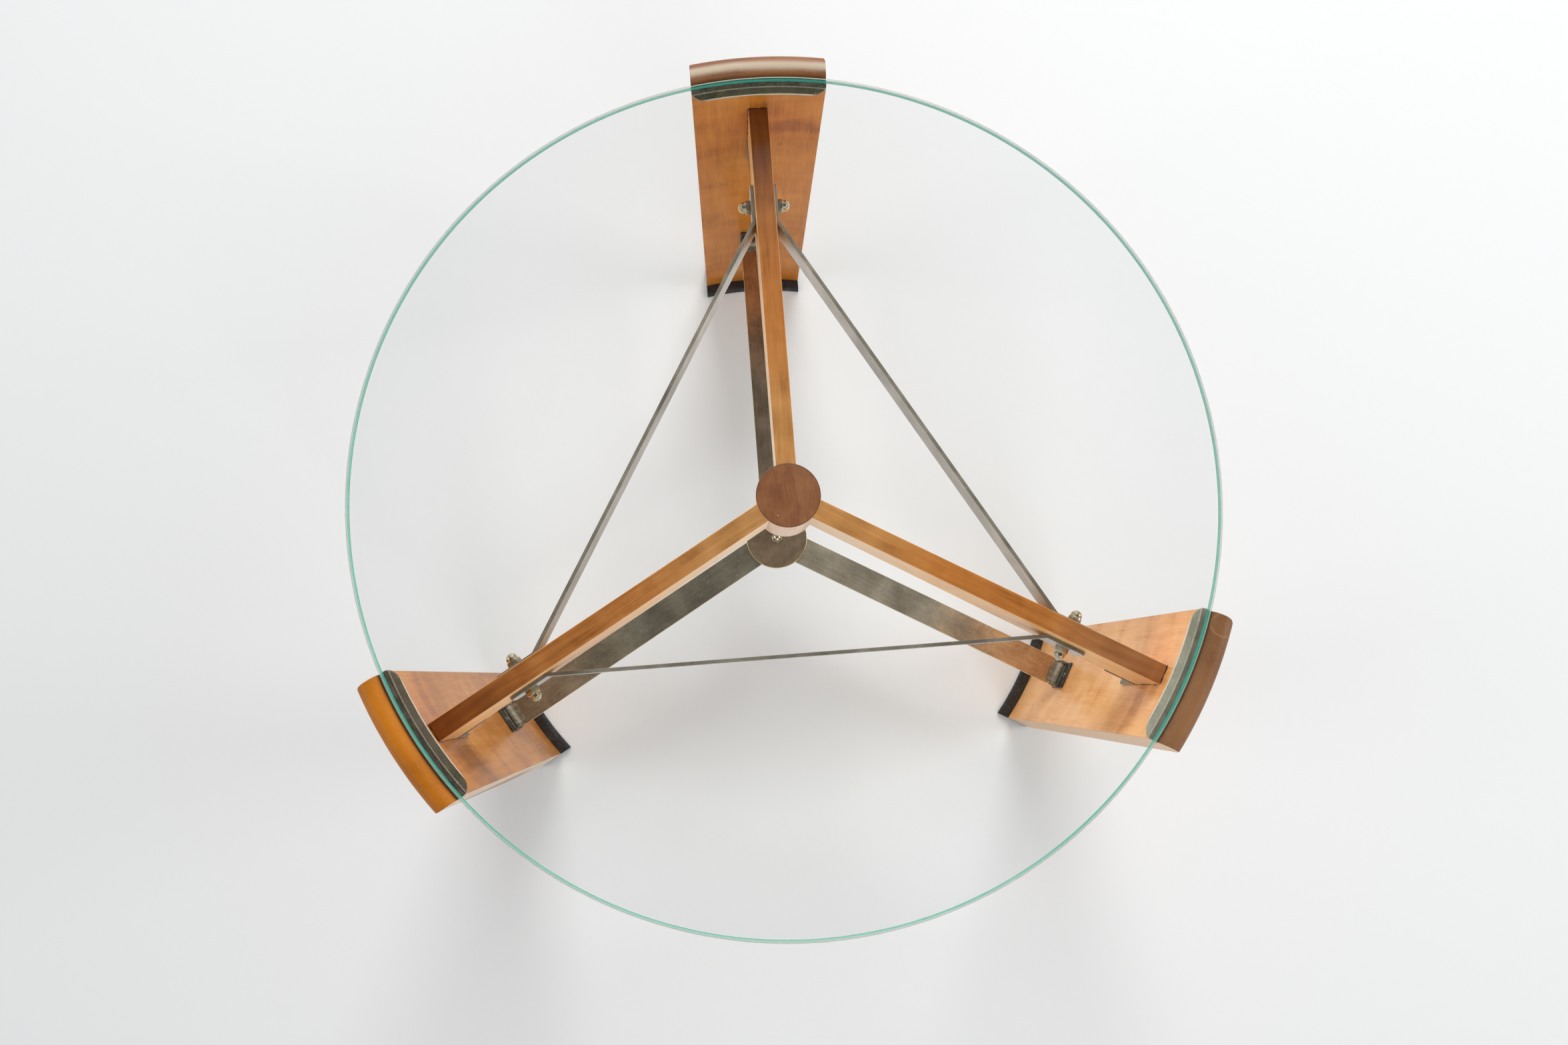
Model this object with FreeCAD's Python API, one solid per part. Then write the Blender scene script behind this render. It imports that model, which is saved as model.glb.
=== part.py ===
import FreeCAD, Part
import math
import os

# Round glass table on three curved wooden slab legs.
# Origin on the floor at the axis of the glass, +Z up, leg a towards +Y, millimetres.

# Glass top
TOP_HEIGHT = 750.0
GLASS_RADIUS = 550.0
GLASS_THICKNESS = 15.0
GLASS_EDGE_ROUND = 3.0

# Legs, slabs bent concentric with the glass
LEG_COUNT = 3
LEG_WIDTH = 180.0
LEG_THICKNESS = 40.0
LEG_UNDER_GLASS = 7.0
LEG_RISE = 2.0
GLASS_EDGE_GAP = 2.0

# Black shoes under the legs
SHOE_THICKNESS = 10.0
SHOE_TOE = 20.0
SHOE_TOE_ROUND = 8.0

# Steel brackets that carry the glass
BRACKET_STEEL = 3.0
BRACKET_SHELF = 12.5
BRACKET_LIP_DROP = 3.0
BRACKET_DEPTH = 30.0
BRACKET_CORNER = 16.0
BRACKET_SCREW_SPREAD = 110.0

# Upper wooden struts and hub
STRUT_WIDTH = 27.0
STRUT_TOP_DROP = 75.0
STRUT_DEPTH_AT_HUB = 65.0
STRUT_DEPTH_AT_LEG = 92.0
STRUT_LEVEL_END = 48.0
TENON_THICKNESS = 12.0
TENON_LENGTH = 15.0
TENON_SHOULDER = 14.0
HUB_RADIUS = 43.0
HUB_HEIGHT = 95.0
HUB_EDGE_ROUND = 2.0

# Steel angles under the outer ends of the struts
ANGLE_WIDTH = 29.0
ANGLE_STEEL = 4.0
ANGLE_REACH = 46.0
ANGLE_HEIGHT = 52.0

# Flat tie bars between the struts, with their studs and dome nuts
TIE_STEEL = 5.0
TIE_HEIGHT = 40.0
TIE_DROP = 100.0
TIE_BEND_RADIUS = 390.0
TIE_TAB = 56.0
TIE_BOLT_INSET = 27.0
TIE_BEND_ROUND = 4.0
TIE_CORNER = 6.0
STUD_DIAMETER = 10.0
NUT_FLATS = 17.0
NUT_HEX_HEIGHT = 8.0
NUT_DOME_RADIUS = 7.75
NUT_NECK = 2.0
NUT_BORE_DEPTH = 12.0

# Lower flat bars, their hinges and the centre discs
BAR_DROP = 530.0
BAR_WIDTH = 46.0
BAR_STEEL = 5.0
BAR_GAP = 0.6
DISC_RADIUS = 52.0
DISC_STEEL = 5.0
DISC_EDGE_ROUND = 1.0
LOWER_DISC_RADIUS = 45.0
CENTRE_HEAD_HEIGHT = 6.4
KNUCKLE_DIAMETER = 14.0
KNUCKLE_LENGTH = 36.0
HINGE_PIN_DIAMETER = 6.0
HINGE_PIN_PROUD = 1.5
HINGE_SIDE_PLAY = 0.5
LEAF_STEEL = 3.0
LEAF_HEIGHT = 56.0
LEAF_GAP = 1.0
LEAF_SCREW_DROP = 16.0

# Round-head wood screws, one size for every steel piece
SCREW_SHANK = 4.5
SCREW_LENGTH = 28.0
SCREW_HEAD_RADIUS = 4.5
SCREW_HEAD_HEIGHT = 2.4

# Fits
RUNNING_CLEARANCE = 0.05
BOLT_CLEARANCE = 0.25
THREAD_CLEARANCE = 0.02
CUT_OVERRUN = 5.0

GLASS_UNDERSIDE = TOP_HEIGHT - GLASS_THICKNESS
LEG_INNER = GLASS_RADIUS - LEG_UNDER_GLASS
LEG_OUTER = LEG_INNER + LEG_THICKNESS
LEG_TOP = TOP_HEIGHT + LEG_RISE
STRUT_TOP = TOP_HEIGHT - STRUT_TOP_DROP
STRUT_FOOT = STRUT_TOP - STRUT_DEPTH_AT_LEG
TIE_TOP = TOP_HEIGHT - TIE_DROP
TIE_AXIS = TIE_TOP - TIE_HEIGHT / 2
TIE_END_RADIUS = TIE_BEND_RADIUS + TIE_TAB
TIE_BOLT_RADIUS = TIE_END_RADIUS - TIE_BOLT_INSET
BAR_TOP = TOP_HEIGHT - BAR_DROP
BAR_UNDERSIDE = BAR_TOP - BAR_STEEL
DISC_TOP = BAR_TOP + DISC_STEEL
LOWER_DISC_UNDERSIDE = BAR_UNDERSIDE - DISC_STEEL
REBATE_RADIUS = GLASS_RADIUS + GLASS_EDGE_GAP
REBATE_FLOOR = GLASS_UNDERSIDE - BRACKET_STEEL
BRACKET_INNER = LEG_INNER - BRACKET_SHELF

X_AXIS = FreeCAD.Vector(1, 0, 0)
Y_AXIS = FreeCAD.Vector(0, 1, 0)
Z_AXIS = FreeCAD.Vector(0, 0, 1)
ORIGIN = FreeCAD.Vector(0, 0, 0)
FULL_TURN = 360.0
QUARTER_TURN = 90.0
EIGHTH_TURN = QUARTER_TURN / 2
LEG_STEP = FULL_TURN / LEG_COUNT
HEX_SIDES = 6
LEG_NAMES = "abcdefgh"


def chord_distance(radius, half_width):
    """Distance from the axis to a circle of this radius, beside a piece of this half width."""
    return math.sqrt(radius ** 2 - half_width ** 2)


def box(x_low, x_high, y_low, y_high, z_low, z_high):
    corner = FreeCAD.Vector(x_low, y_low, z_low)
    return Part.makeBox(x_high - x_low, y_high - y_low, z_high - z_low, corner)


def cylinder(radius, length, base, direction=Z_AXIS):
    return Part.makeCylinder(radius, length, base, direction)


def turned(shape, angle, centre=ORIGIN, axis=Z_AXIS):
    copy = shape.copy()
    copy.rotate(centre, axis, angle)
    return copy


def at_leg(shape, index):
    """A piece made for leg a, carried clockwise round to another leg."""
    return turned(shape, -LEG_STEP * index)


def profile_face(points):
    """A face in the plane of radius and height, from (radius, height) corners or arc triples."""
    edges = []
    here = points[0]
    for step in points[1:] + [points[0]]:
        if len(step) == 2:
            goal = step
            edges.append(Part.makeLine(profile_point(here), profile_point(goal)))
        else:
            middle = (step[0], step[1])
            goal = (step[2], step[3])
            arc = Part.Arc(profile_point(here), profile_point(middle), profile_point(goal))
            edges.append(arc.toShape())
        here = goal
    return Part.Face(Part.Wire(edges))


def profile_point(pair):
    return FreeCAD.Vector(pair[0], 0, pair[1])


def swept_slab(points, width):
    """A profile swept round the table's axis, centred on +Y and cut to one width."""
    reach = math.degrees(math.asin((width / 2 + CUT_OVERRUN) / BRACKET_INNER))
    start = turned(profile_face(points), QUARTER_TURN - reach)
    ring = start.revolve(ORIGIN, Z_AXIS, 2 * reach)
    slab = box(-width / 2, width / 2, 0, LEG_OUTER + CUT_OVERRUN, -CUT_OVERRUN, LEG_TOP + CUT_OVERRUN)
    return ring.common(slab).Solids[0]


def arc_middle(centre_radius, centre_height, radius, angle):
    turn = math.radians(angle)
    return (centre_radius + radius * math.cos(turn), centre_height + radius * math.sin(turn))


def vertical_edges(shape, test):
    found = []
    for edge in shape.Edges:
        first = edge.Vertexes[0].Point
        last = edge.Vertexes[-1].Point
        level = math.hypot(first.x - last.x, first.y - last.y)
        if level < edge.Length / 2 and test(edge.CenterOfMass):
            found.append(edge)
    return found


def glass_top():
    disc = cylinder(GLASS_RADIUS, GLASS_THICKNESS, FreeCAD.Vector(0, 0, GLASS_UNDERSIDE))
    rims = []
    for edge in disc.Edges:
        if len(edge.Vertexes) == 1:
            rims.append(edge)
    return disc.makeFillet(GLASS_EDGE_ROUND, rims)


def strut_tenon(outer):
    """The stub tenon of a strut, either into the leg or into the hub."""
    if outer:
        low = STRUT_FOOT + TENON_SHOULDER
        near = chord_distance(LEG_INNER, STRUT_WIDTH / 2) - TENON_LENGTH
        far = LEG_INNER + TENON_LENGTH
    else:
        low = STRUT_TOP - STRUT_DEPTH_AT_HUB + TENON_SHOULDER
        near = HUB_RADIUS - TENON_LENGTH
        far = HUB_RADIUS + TENON_LENGTH
    half = TENON_THICKNESS / 2
    return box(-half, half, near, far, low, STRUT_TOP - TENON_SHOULDER)


def screw_shape():
    """A round-head screw along +Y, with the underside of its head at the origin."""
    shank = cylinder(SCREW_SHANK / 2, SCREW_LENGTH, ORIGIN, Y_AXIS)
    # The head is a cap cut from a ball whose rim is the head's radius.
    ball_radius = (SCREW_HEAD_RADIUS ** 2 + SCREW_HEAD_HEIGHT ** 2) / (2 * SCREW_HEAD_HEIGHT)
    ball = Part.makeSphere(ball_radius, FreeCAD.Vector(0, ball_radius - SCREW_HEAD_HEIGHT, 0))
    front = box(-ball_radius, ball_radius, -SCREW_HEAD_HEIGHT, 0, -ball_radius, ball_radius)
    head = ball.common(front)
    return shank.fuse(head).removeSplitter().Solids[0]


def screw_bore(clearance):
    """The hole for such a screw's shank, open past the seat of its head."""
    length = CUT_OVERRUN + SCREW_LENGTH + clearance
    return cylinder(SCREW_SHANK / 2 + clearance, length, -Y_AXIS * CUT_OVERRUN, Y_AXIS)


def screw_or_bore(clearance):
    return screw_bore(clearance) if clearance else screw_shape()


def placed_screw(seat_radius, side, height, clearance=0.0):
    """A screw driven outward into a leg, at one place along its curved face, or its hole."""
    screw = screw_or_bore(clearance)
    screw.translate(FreeCAD.Vector(0, seat_radius, height))
    angle = math.degrees(math.asin(side / seat_radius))
    return turned(screw, -angle)


def bracket_screws(clearance=0.0):
    height = REBATE_FLOOR - (BRACKET_DEPTH - BRACKET_STEEL) / 2
    # The flange is hollow towards the screw, so the rim of the head touches it first.
    seat = chord_distance(LEG_INNER - BRACKET_STEEL, SCREW_HEAD_RADIUS)
    screws = []
    for side in (-BRACKET_SCREW_SPREAD / 2, BRACKET_SCREW_SPREAD / 2):
        screws.append(placed_screw(seat, side, height, clearance))
    return screws


def angle_seat():
    return chord_distance(LEG_INNER, ANGLE_WIDTH / 2)


def angle_leg_screw(clearance=0.0):
    height = STRUT_FOOT - ANGLE_STEEL - (ANGLE_HEIGHT - ANGLE_STEEL) / 2
    return placed_screw(angle_seat() - ANGLE_STEEL, 0, height, clearance)


def angle_strut_screw(clearance=0.0):
    screw = turned(screw_or_bore(clearance), QUARTER_TURN, ORIGIN, X_AXIS)
    reach = angle_seat() - ANGLE_STEEL - (ANGLE_REACH - ANGLE_STEEL) / 2
    screw.translate(FreeCAD.Vector(0, reach, STRUT_FOOT - ANGLE_STEEL))
    return screw


def leaf_seat():
    return chord_distance(LEG_INNER, BAR_WIDTH / 2)


def hinge_axis_radius():
    return leaf_seat() - LEAF_STEEL - LEAF_GAP - KNUCKLE_DIAMETER / 2


def hinge_axis_height():
    return BAR_UNDERSIDE + KNUCKLE_DIAMETER / 2


def leaf_screws(clearance=0.0):
    screws = []
    for drop in (-LEAF_SCREW_DROP, LEAF_SCREW_DROP):
        height = hinge_axis_height() + drop
        screws.append(placed_screw(leaf_seat() - LEAF_STEEL, 0, height, clearance))
    return screws


def leg():
    """The slab with its rebate for the glass, its half-round top and its mortise."""
    round_radius = (LEG_OUTER - REBATE_RADIUS) / 2
    spring = LEG_TOP - round_radius
    crown = (REBATE_RADIUS + round_radius, LEG_TOP)
    outline = [
        (LEG_INNER, SHOE_THICKNESS),
        (LEG_INNER, REBATE_FLOOR),
        (REBATE_RADIUS, REBATE_FLOOR),
        (REBATE_RADIUS, spring),
        crown + (LEG_OUTER, spring),
        (LEG_OUTER, SHOE_THICKNESS),
    ]
    slab = swept_slab(outline, LEG_WIDTH)
    cuts = [strut_tenon(True), angle_leg_screw(THREAD_CLEARANCE)]
    cuts += bracket_screws(THREAD_CLEARANCE)
    cuts += leaf_screws(THREAD_CLEARANCE)
    return slab.cut(cuts).Solids[0]


def foot_shoe():
    """The flat shoe, as thick all over, with a rounded toe on the inner side."""
    toe = LEG_INNER - SHOE_TOE
    centre_radius = toe + SHOE_TOE_ROUND
    centre_height = SHOE_THICKNESS - SHOE_TOE_ROUND
    middle = arc_middle(centre_radius, centre_height, SHOE_TOE_ROUND, QUARTER_TURN + EIGHTH_TURN)
    outline = [
        (toe, 0),
        (toe, centre_height),
        middle + (centre_radius, SHOE_THICKNESS),
        (LEG_OUTER, SHOE_THICKNESS),
        (LEG_OUTER, 0),
    ]
    return swept_slab(outline, LEG_WIDTH)


def glass_bracket():
    """A strip on the rebate floor with a lip that slopes inwards, welded to a flange on the leg's face."""
    flange_inner = LEG_INNER - BRACKET_STEEL
    flange_foot = GLASS_UNDERSIDE - BRACKET_DEPTH
    outline = [
        (BRACKET_INNER, GLASS_UNDERSIDE - BRACKET_LIP_DROP),
        (flange_inner, GLASS_UNDERSIDE),
        (REBATE_RADIUS, GLASS_UNDERSIDE),
        (REBATE_RADIUS, REBATE_FLOOR),
        (LEG_INNER, REBATE_FLOOR),
        (LEG_INNER, flange_foot),
        (flange_inner, flange_foot),
        (flange_inner, REBATE_FLOOR),
        (BRACKET_INNER, REBATE_FLOOR - BRACKET_LIP_DROP),
    ]
    strip = swept_slab(outline, LEG_WIDTH)
    return strip.cut(bracket_corners() + bracket_screws(BOLT_CLEARANCE)).Solids[0]


def bracket_corners():
    """What is cut away at the ends of the lip to round its two corners."""
    side = LEG_WIDTH / 2 - BRACKET_CORNER
    inner = chord_distance(BRACKET_INNER, side)
    low = REBATE_FLOOR - BRACKET_LIP_DROP - CUT_OVERRUN
    high = GLASS_UNDERSIDE + CUT_OVERRUN
    corners = []
    for sign in (-1, 1):
        near, far = sorted((sign * side, sign * (LEG_WIDTH / 2 + CUT_OVERRUN)))
        block = box(near, far, inner - CUT_OVERRUN, inner + BRACKET_CORNER, low, high)
        kept = cylinder(BRACKET_CORNER, high, FreeCAD.Vector(sign * side, inner + BRACKET_CORNER, 0))
        corners.append(block.cut(kept))
    return corners


def upper_strut():
    """The wooden strut: level on top, deeper towards the leg, tenoned at both ends."""
    level_start = LEG_INNER - STRUT_LEVEL_END
    outline = [
        (0, STRUT_TOP),
        (0, STRUT_TOP - STRUT_DEPTH_AT_HUB),
        (HUB_RADIUS, STRUT_TOP - STRUT_DEPTH_AT_HUB),
        (level_start, STRUT_FOOT),
        (LEG_OUTER, STRUT_FOOT),
        (LEG_OUTER, STRUT_TOP),
    ]
    face = turned(profile_face(outline), QUARTER_TURN)
    beam = face.extrude(X_AXIS * STRUT_WIDTH)
    beam.translate(-X_AXIS * (STRUT_WIDTH / 2))
    inside_legs = cylinder(LEG_INNER, TOP_HEIGHT, ORIGIN)
    beam = beam.common(inside_legs).cut(cylinder(HUB_RADIUS, TOP_HEIGHT, ORIGIN))
    beam = beam.fuse([strut_tenon(True), strut_tenon(False)]).removeSplitter()
    return beam.cut([tie_bolt_bore(), angle_strut_screw(THREAD_CLEARANCE)]).Solids[0]


def tie_bolt_bore():
    half = STRUT_WIDTH / 2 + TIE_STEEL + CUT_OVERRUN
    base = FreeCAD.Vector(-half, TIE_BOLT_RADIUS, TIE_AXIS)
    return cylinder(STUD_DIAMETER / 2 + BOLT_CLEARANCE, 2 * half, base, X_AXIS)


def hub_block():
    block = cylinder(HUB_RADIUS, HUB_HEIGHT, FreeCAD.Vector(0, 0, STRUT_TOP - HUB_HEIGHT))
    rims = []
    for edge in block.Edges:
        if len(edge.Vertexes) == 1 and edge.CenterOfMass.z < STRUT_TOP - HUB_HEIGHT / 2:
            rims.append(edge)
    block = block.makeFillet(HUB_EDGE_ROUND, rims)
    mortises = []
    for index in range(LEG_COUNT):
        mortises.append(at_leg(strut_tenon(False), index))
    return block.cut(mortises).Solids[0]


def strut_angle():
    """The steel angle in the corner under a strut's outer end."""
    half = ANGLE_WIDTH / 2
    seat = angle_seat()
    level = box(-half, half, seat - ANGLE_REACH, seat, STRUT_FOOT - ANGLE_STEEL, STRUT_FOOT)
    upright = box(-half, half, seat - ANGLE_STEEL, seat, STRUT_FOOT - ANGLE_HEIGHT, STRUT_FOOT)
    body = level.fuse(upright).removeSplitter()
    return body.cut([angle_leg_screw(BOLT_CLEARANCE), angle_strut_screw(BOLT_CLEARANCE)]).Solids[0]


def tie_bar():
    """A flat bar on edge from the right side of leg a's strut to the next strut."""
    side = (STRUT_WIDTH + TIE_STEEL) / 2
    near_end = FreeCAD.Vector(side, TIE_END_RADIUS, 0)
    near_bend = FreeCAD.Vector(side, TIE_BEND_RADIUS, 0)
    far_bend = FreeCAD.Vector(-side, TIE_BEND_RADIUS, 0)
    far_end = FreeCAD.Vector(-side, TIE_END_RADIUS, 0)
    turn = FreeCAD.Rotation(Z_AXIS, -LEG_STEP)
    route = [near_end, near_bend, turn.multVec(far_bend), turn.multVec(far_end)]
    outline = offset_points(route, TIE_STEEL / 2) + offset_points(route, -TIE_STEEL / 2)[::-1]
    outline = [FreeCAD.Vector(p.x, p.y, TIE_TOP - TIE_HEIGHT) for p in outline]
    bar = Part.Face(Part.makePolygon(outline + outline[:1])).extrude(Z_AXIS * TIE_HEIGHT)
    bar = rounded(bar, route[1:-1], TIE_BEND_ROUND)
    bar = bar.makeChamfer(TIE_CORNER, end_edges(bar, (route[0], route[-1])))
    bores = [tie_bolt_bore(), at_leg(tie_bolt_bore(), 1)]
    return bar.cut(bores).Solids[0]


def offset_points(route, distance):
    """The route's corners moved sideways by one distance, mitred at the bends."""
    moved = []
    for index, point in enumerate(route):
        before = route[max(index - 1, 0)]
        after = route[min(index + 1, len(route) - 1)]
        first = side_of(before, point) if index > 0 else side_of(point, after)
        second = side_of(point, after) if index < len(route) - 1 else first
        mean = first + second
        mean.normalize()
        moved.append(point + mean * (distance / mean.dot(first)))
    return moved


def side_of(start, end):
    along = end - start
    along.normalize()
    return FreeCAD.Vector(-along.y, along.x, 0)


def rounded(bar, bends, radius):
    """The bar with its two bends rounded, the inside of each by this radius."""
    for outside in (False, True):
        edges = []
        for bend in bends:
            reach = math.hypot(bend.x, bend.y)
            edges += vertical_edges(bar, lambda c: at_bend(c, bend, reach, outside))
        bar = bar.makeFillet(radius + TIE_STEEL if outside else radius, edges)
    return bar


def at_bend(centre, bend, reach, outside):
    near = math.hypot(centre.x - bend.x, centre.y - bend.y) < TIE_STEEL
    return near and (math.hypot(centre.x, centre.y) < reach) == outside


def end_edges(bar, ends):
    """The short level edges across the steel at the two ends of a tie bar."""
    found = []
    for edge in bar.Edges:
        centre = edge.CenterOfMass
        level = abs(edge.Vertexes[0].Point.z - edge.Vertexes[-1].Point.z) < RUNNING_CLEARANCE
        for end in ends:
            near = math.hypot(centre.x - end.x, centre.y - end.y) < RUNNING_CLEARANCE
            if level and near:
                found.append(edge)
    return found


def tie_stud():
    half = STRUT_WIDTH / 2 + TIE_STEEL + NUT_BORE_DEPTH - NUT_NECK
    return cylinder(STUD_DIAMETER / 2, 2 * half, FreeCAD.Vector(-half, TIE_BOLT_RADIUS, TIE_AXIS), X_AXIS)


def dome_nut():
    """A blind hexagon nut with a domed cap, standing on the origin along +Z."""
    corner_radius = NUT_FLATS / math.sqrt(3)
    corners = []
    for side in range(HEX_SIDES + 1):
        turn = math.radians(side * FULL_TURN / HEX_SIDES)
        corners.append(FreeCAD.Vector(corner_radius * math.cos(turn), corner_radius * math.sin(turn), 0))
    hexagon = Part.Face(Part.makePolygon(corners)).extrude(Z_AXIS * NUT_HEX_HEIGHT)
    # A cone trims the corners of the hexagon on its outer side.
    trim = Part.makeCone(corner_radius + NUT_HEX_HEIGHT, NUT_FLATS / 2, NUT_HEX_HEIGHT)
    hexagon = hexagon.common(trim)
    neck = cylinder(NUT_DOME_RADIUS, NUT_HEX_HEIGHT + NUT_NECK, ORIGIN)
    dome = Part.makeSphere(NUT_DOME_RADIUS, FreeCAD.Vector(0, 0, NUT_HEX_HEIGHT + NUT_NECK))
    bore = cylinder(STUD_DIAMETER / 2 + THREAD_CLEARANCE, NUT_BORE_DEPTH, ORIGIN)
    upper = box(-NUT_FLATS, NUT_FLATS, -NUT_FLATS, NUT_FLATS, 0, 2 * NUT_FLATS)
    return hexagon.fuse([neck, dome]).common(upper).cut(bore).Solids[0]


def tie_nut(right):
    nut = turned(dome_nut(), QUARTER_TURN if right else -QUARTER_TURN, ORIGIN, Y_AXIS)
    seat = STRUT_WIDTH / 2 + TIE_STEEL
    nut.translate(FreeCAD.Vector(seat if right else -seat, TIE_BOLT_RADIUS, TIE_AXIS))
    return nut


def lower_bar():
    """A flat bar from the centre discs to its hinge, its end rolled to a knuckle."""
    half = BAR_WIDTH / 2
    axis_radius = hinge_axis_radius()
    axis_height = hinge_axis_height()
    bar = box(-half, half, 0, axis_radius, BAR_UNDERSIDE, BAR_TOP)
    # The inner end is a point, so that the three bars meet round the centre bolt.
    wedge_reach = half / math.tan(math.radians(LEG_STEP / 2))
    gap = BAR_GAP / (2 * math.sin(math.radians(LEG_STEP / 2)))
    tip = FreeCAD.Vector(0, gap, BAR_UNDERSIDE)
    side = half + CUT_OVERRUN
    rise = side / math.tan(math.radians(LEG_STEP / 2))
    far = max(axis_radius, wedge_reach) + CUT_OVERRUN
    corners = [
        tip,
        FreeCAD.Vector(side, gap + rise, BAR_UNDERSIDE),
        FreeCAD.Vector(side, far, BAR_UNDERSIDE),
        FreeCAD.Vector(-side, far, BAR_UNDERSIDE),
        FreeCAD.Vector(-side, gap + rise, BAR_UNDERSIDE),
        tip,
    ]
    bar = bar.common(Part.Face(Part.makePolygon(corners)).extrude(Z_AXIS * BAR_STEEL))
    # Beside the knuckle the bar stops short, to leave room for the ears of the leaf.
    ear_room = KNUCKLE_DIAMETER / 2 + LEAF_GAP
    for sign in (-1, 1):
        inner = sign * KNUCKLE_LENGTH / 2
        outer = sign * side
        low = min(inner, outer)
        high = max(inner, outer)
        room = box(low, high, axis_radius - ear_room, far, BAR_UNDERSIDE - BAR_STEEL, BAR_TOP + BAR_STEEL)
        bar = bar.cut(room)
    base = FreeCAD.Vector(-KNUCKLE_LENGTH / 2, axis_radius, axis_height)
    roll = cylinder(KNUCKLE_DIAMETER / 2, KNUCKLE_LENGTH, base, X_AXIS)
    bore = cylinder(HINGE_PIN_DIAMETER / 2 + RUNNING_CLEARANCE, KNUCKLE_LENGTH, base, X_AXIS)
    bolt = cylinder(STUD_DIAMETER / 2 + BOLT_CLEARANCE, TOP_HEIGHT, ORIGIN)
    return bar.fuse(roll).cut([bore, bolt]).removeSplitter().Solids[0]


def hinge_leaf():
    """The leaf screwed to the leg, with an ear on each side of the knuckle."""
    half = BAR_WIDTH / 2
    seat = leaf_seat()
    axis_radius = hinge_axis_radius()
    axis_height = hinge_axis_height()
    low = axis_height - LEAF_HEIGHT / 2
    plate = box(-half, half, seat - LEAF_STEEL, seat, low, low + LEAF_HEIGHT)
    radius = KNUCKLE_DIAMETER / 2
    ear = (BAR_WIDTH - KNUCKLE_LENGTH) / 2 - HINGE_SIDE_PLAY
    ears = []
    for start in (-half, half - ear):
        base = FreeCAD.Vector(start, axis_radius, axis_height)
        ears.append(cylinder(radius, ear, base, X_AXIS))
        ears.append(box(start, start + ear, axis_radius, seat, axis_height - radius, axis_height + radius))
    body = plate.fuse(ears).removeSplitter()
    base = FreeCAD.Vector(-half, axis_radius, axis_height)
    bore = cylinder(HINGE_PIN_DIAMETER / 2 + RUNNING_CLEARANCE, BAR_WIDTH, base, X_AXIS)
    return body.cut([bore] + leaf_screws(BOLT_CLEARANCE)).Solids[0]


def hinge_pin():
    half = BAR_WIDTH / 2 + HINGE_PIN_PROUD
    base = FreeCAD.Vector(-half, hinge_axis_radius(), hinge_axis_height())
    return cylinder(HINGE_PIN_DIAMETER / 2, 2 * half, base, X_AXIS)


def bored_disc(radius, underside):
    disc = cylinder(radius, DISC_STEEL, FreeCAD.Vector(0, 0, underside))
    rims = []
    for edge in disc.Edges:
        if len(edge.Vertexes) == 1:
            rims.append(edge)
    disc = disc.makeFillet(DISC_EDGE_ROUND, rims)
    return disc.cut(cylinder(STUD_DIAMETER / 2 + BOLT_CLEARANCE, TOP_HEIGHT, ORIGIN)).Solids[0]


def centre_bolt():
    """The hexagon bolt that clamps the three bars between the two discs, from below."""
    head_base = LOWER_DISC_UNDERSIDE - CENTRE_HEAD_HEIGHT
    corner_radius = NUT_FLATS / math.sqrt(3)
    corners = []
    for side in range(HEX_SIDES + 1):
        turn = math.radians(side * FULL_TURN / HEX_SIDES)
        x = corner_radius * math.cos(turn)
        y = corner_radius * math.sin(turn)
        corners.append(FreeCAD.Vector(x, y, head_base))
    head = Part.Face(Part.makePolygon(corners)).extrude(Z_AXIS * CENTRE_HEAD_HEIGHT)
    length = DISC_TOP + NUT_BORE_DEPTH - NUT_NECK - head_base
    shank = cylinder(STUD_DIAMETER / 2, length, FreeCAD.Vector(0, 0, head_base))
    return head.fuse(shank).removeSplitter().Solids[0]


def centre_nut():
    nut = dome_nut()
    nut.translate(FreeCAD.Vector(0, 0, DISC_TOP))
    return nut


def leg_set():
    """Every piece that each leg carries, made for leg a."""
    bracket_pair = bracket_screws()
    leaf_pair = leaf_screws()
    return {
        "leg": leg(),
        "foot_shoe": foot_shoe(),
        "glass_bracket": glass_bracket(),
        "bracket_screw_left": bracket_pair[0],
        "bracket_screw_right": bracket_pair[1],
        "upper_strut": upper_strut(),
        "strut_angle": strut_angle(),
        "angle_screw_leg": angle_leg_screw(),
        "angle_screw_strut": angle_strut_screw(),
        "tie_bar": tie_bar(),
        "tie_stud": tie_stud(),
        "tie_nut_left": tie_nut(False),
        "tie_nut_right": tie_nut(True),
        "lower_bar": lower_bar(),
        "hinge_leaf": hinge_leaf(),
        "hinge_pin": hinge_pin(),
        "hinge_screw_lower": leaf_pair[0],
        "hinge_screw_upper": leaf_pair[1],
    }


def main():
    os.makedirs("parts", exist_ok=True)
    pieces = {
        "glass_top": glass_top(),
        "hub_block": hub_block(),
        "centre_disc_upper": bored_disc(DISC_RADIUS, BAR_TOP),
        "centre_disc_lower": bored_disc(LOWER_DISC_RADIUS, LOWER_DISC_UNDERSIDE),
        "centre_bolt": centre_bolt(),
        "centre_nut": centre_nut(),
    }
    for name, shape in leg_set().items():
        for index in range(LEG_COUNT):
            pieces[name + "_" + LEG_NAMES[index]] = at_leg(shape, index)
    for name, shape in pieces.items():
        print(name, len(shape.Solids), shape.isValid(), round(shape.Volume))
        shape.exportStep(os.path.join("parts", name + ".step"))
    print(len(pieces), "pieces")


main()
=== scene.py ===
import bmesh
import bpy
from math import ceil, cos, dist, hypot, pi, radians, sin, sqrt, tan
from mathutils import Matrix, Vector


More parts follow.
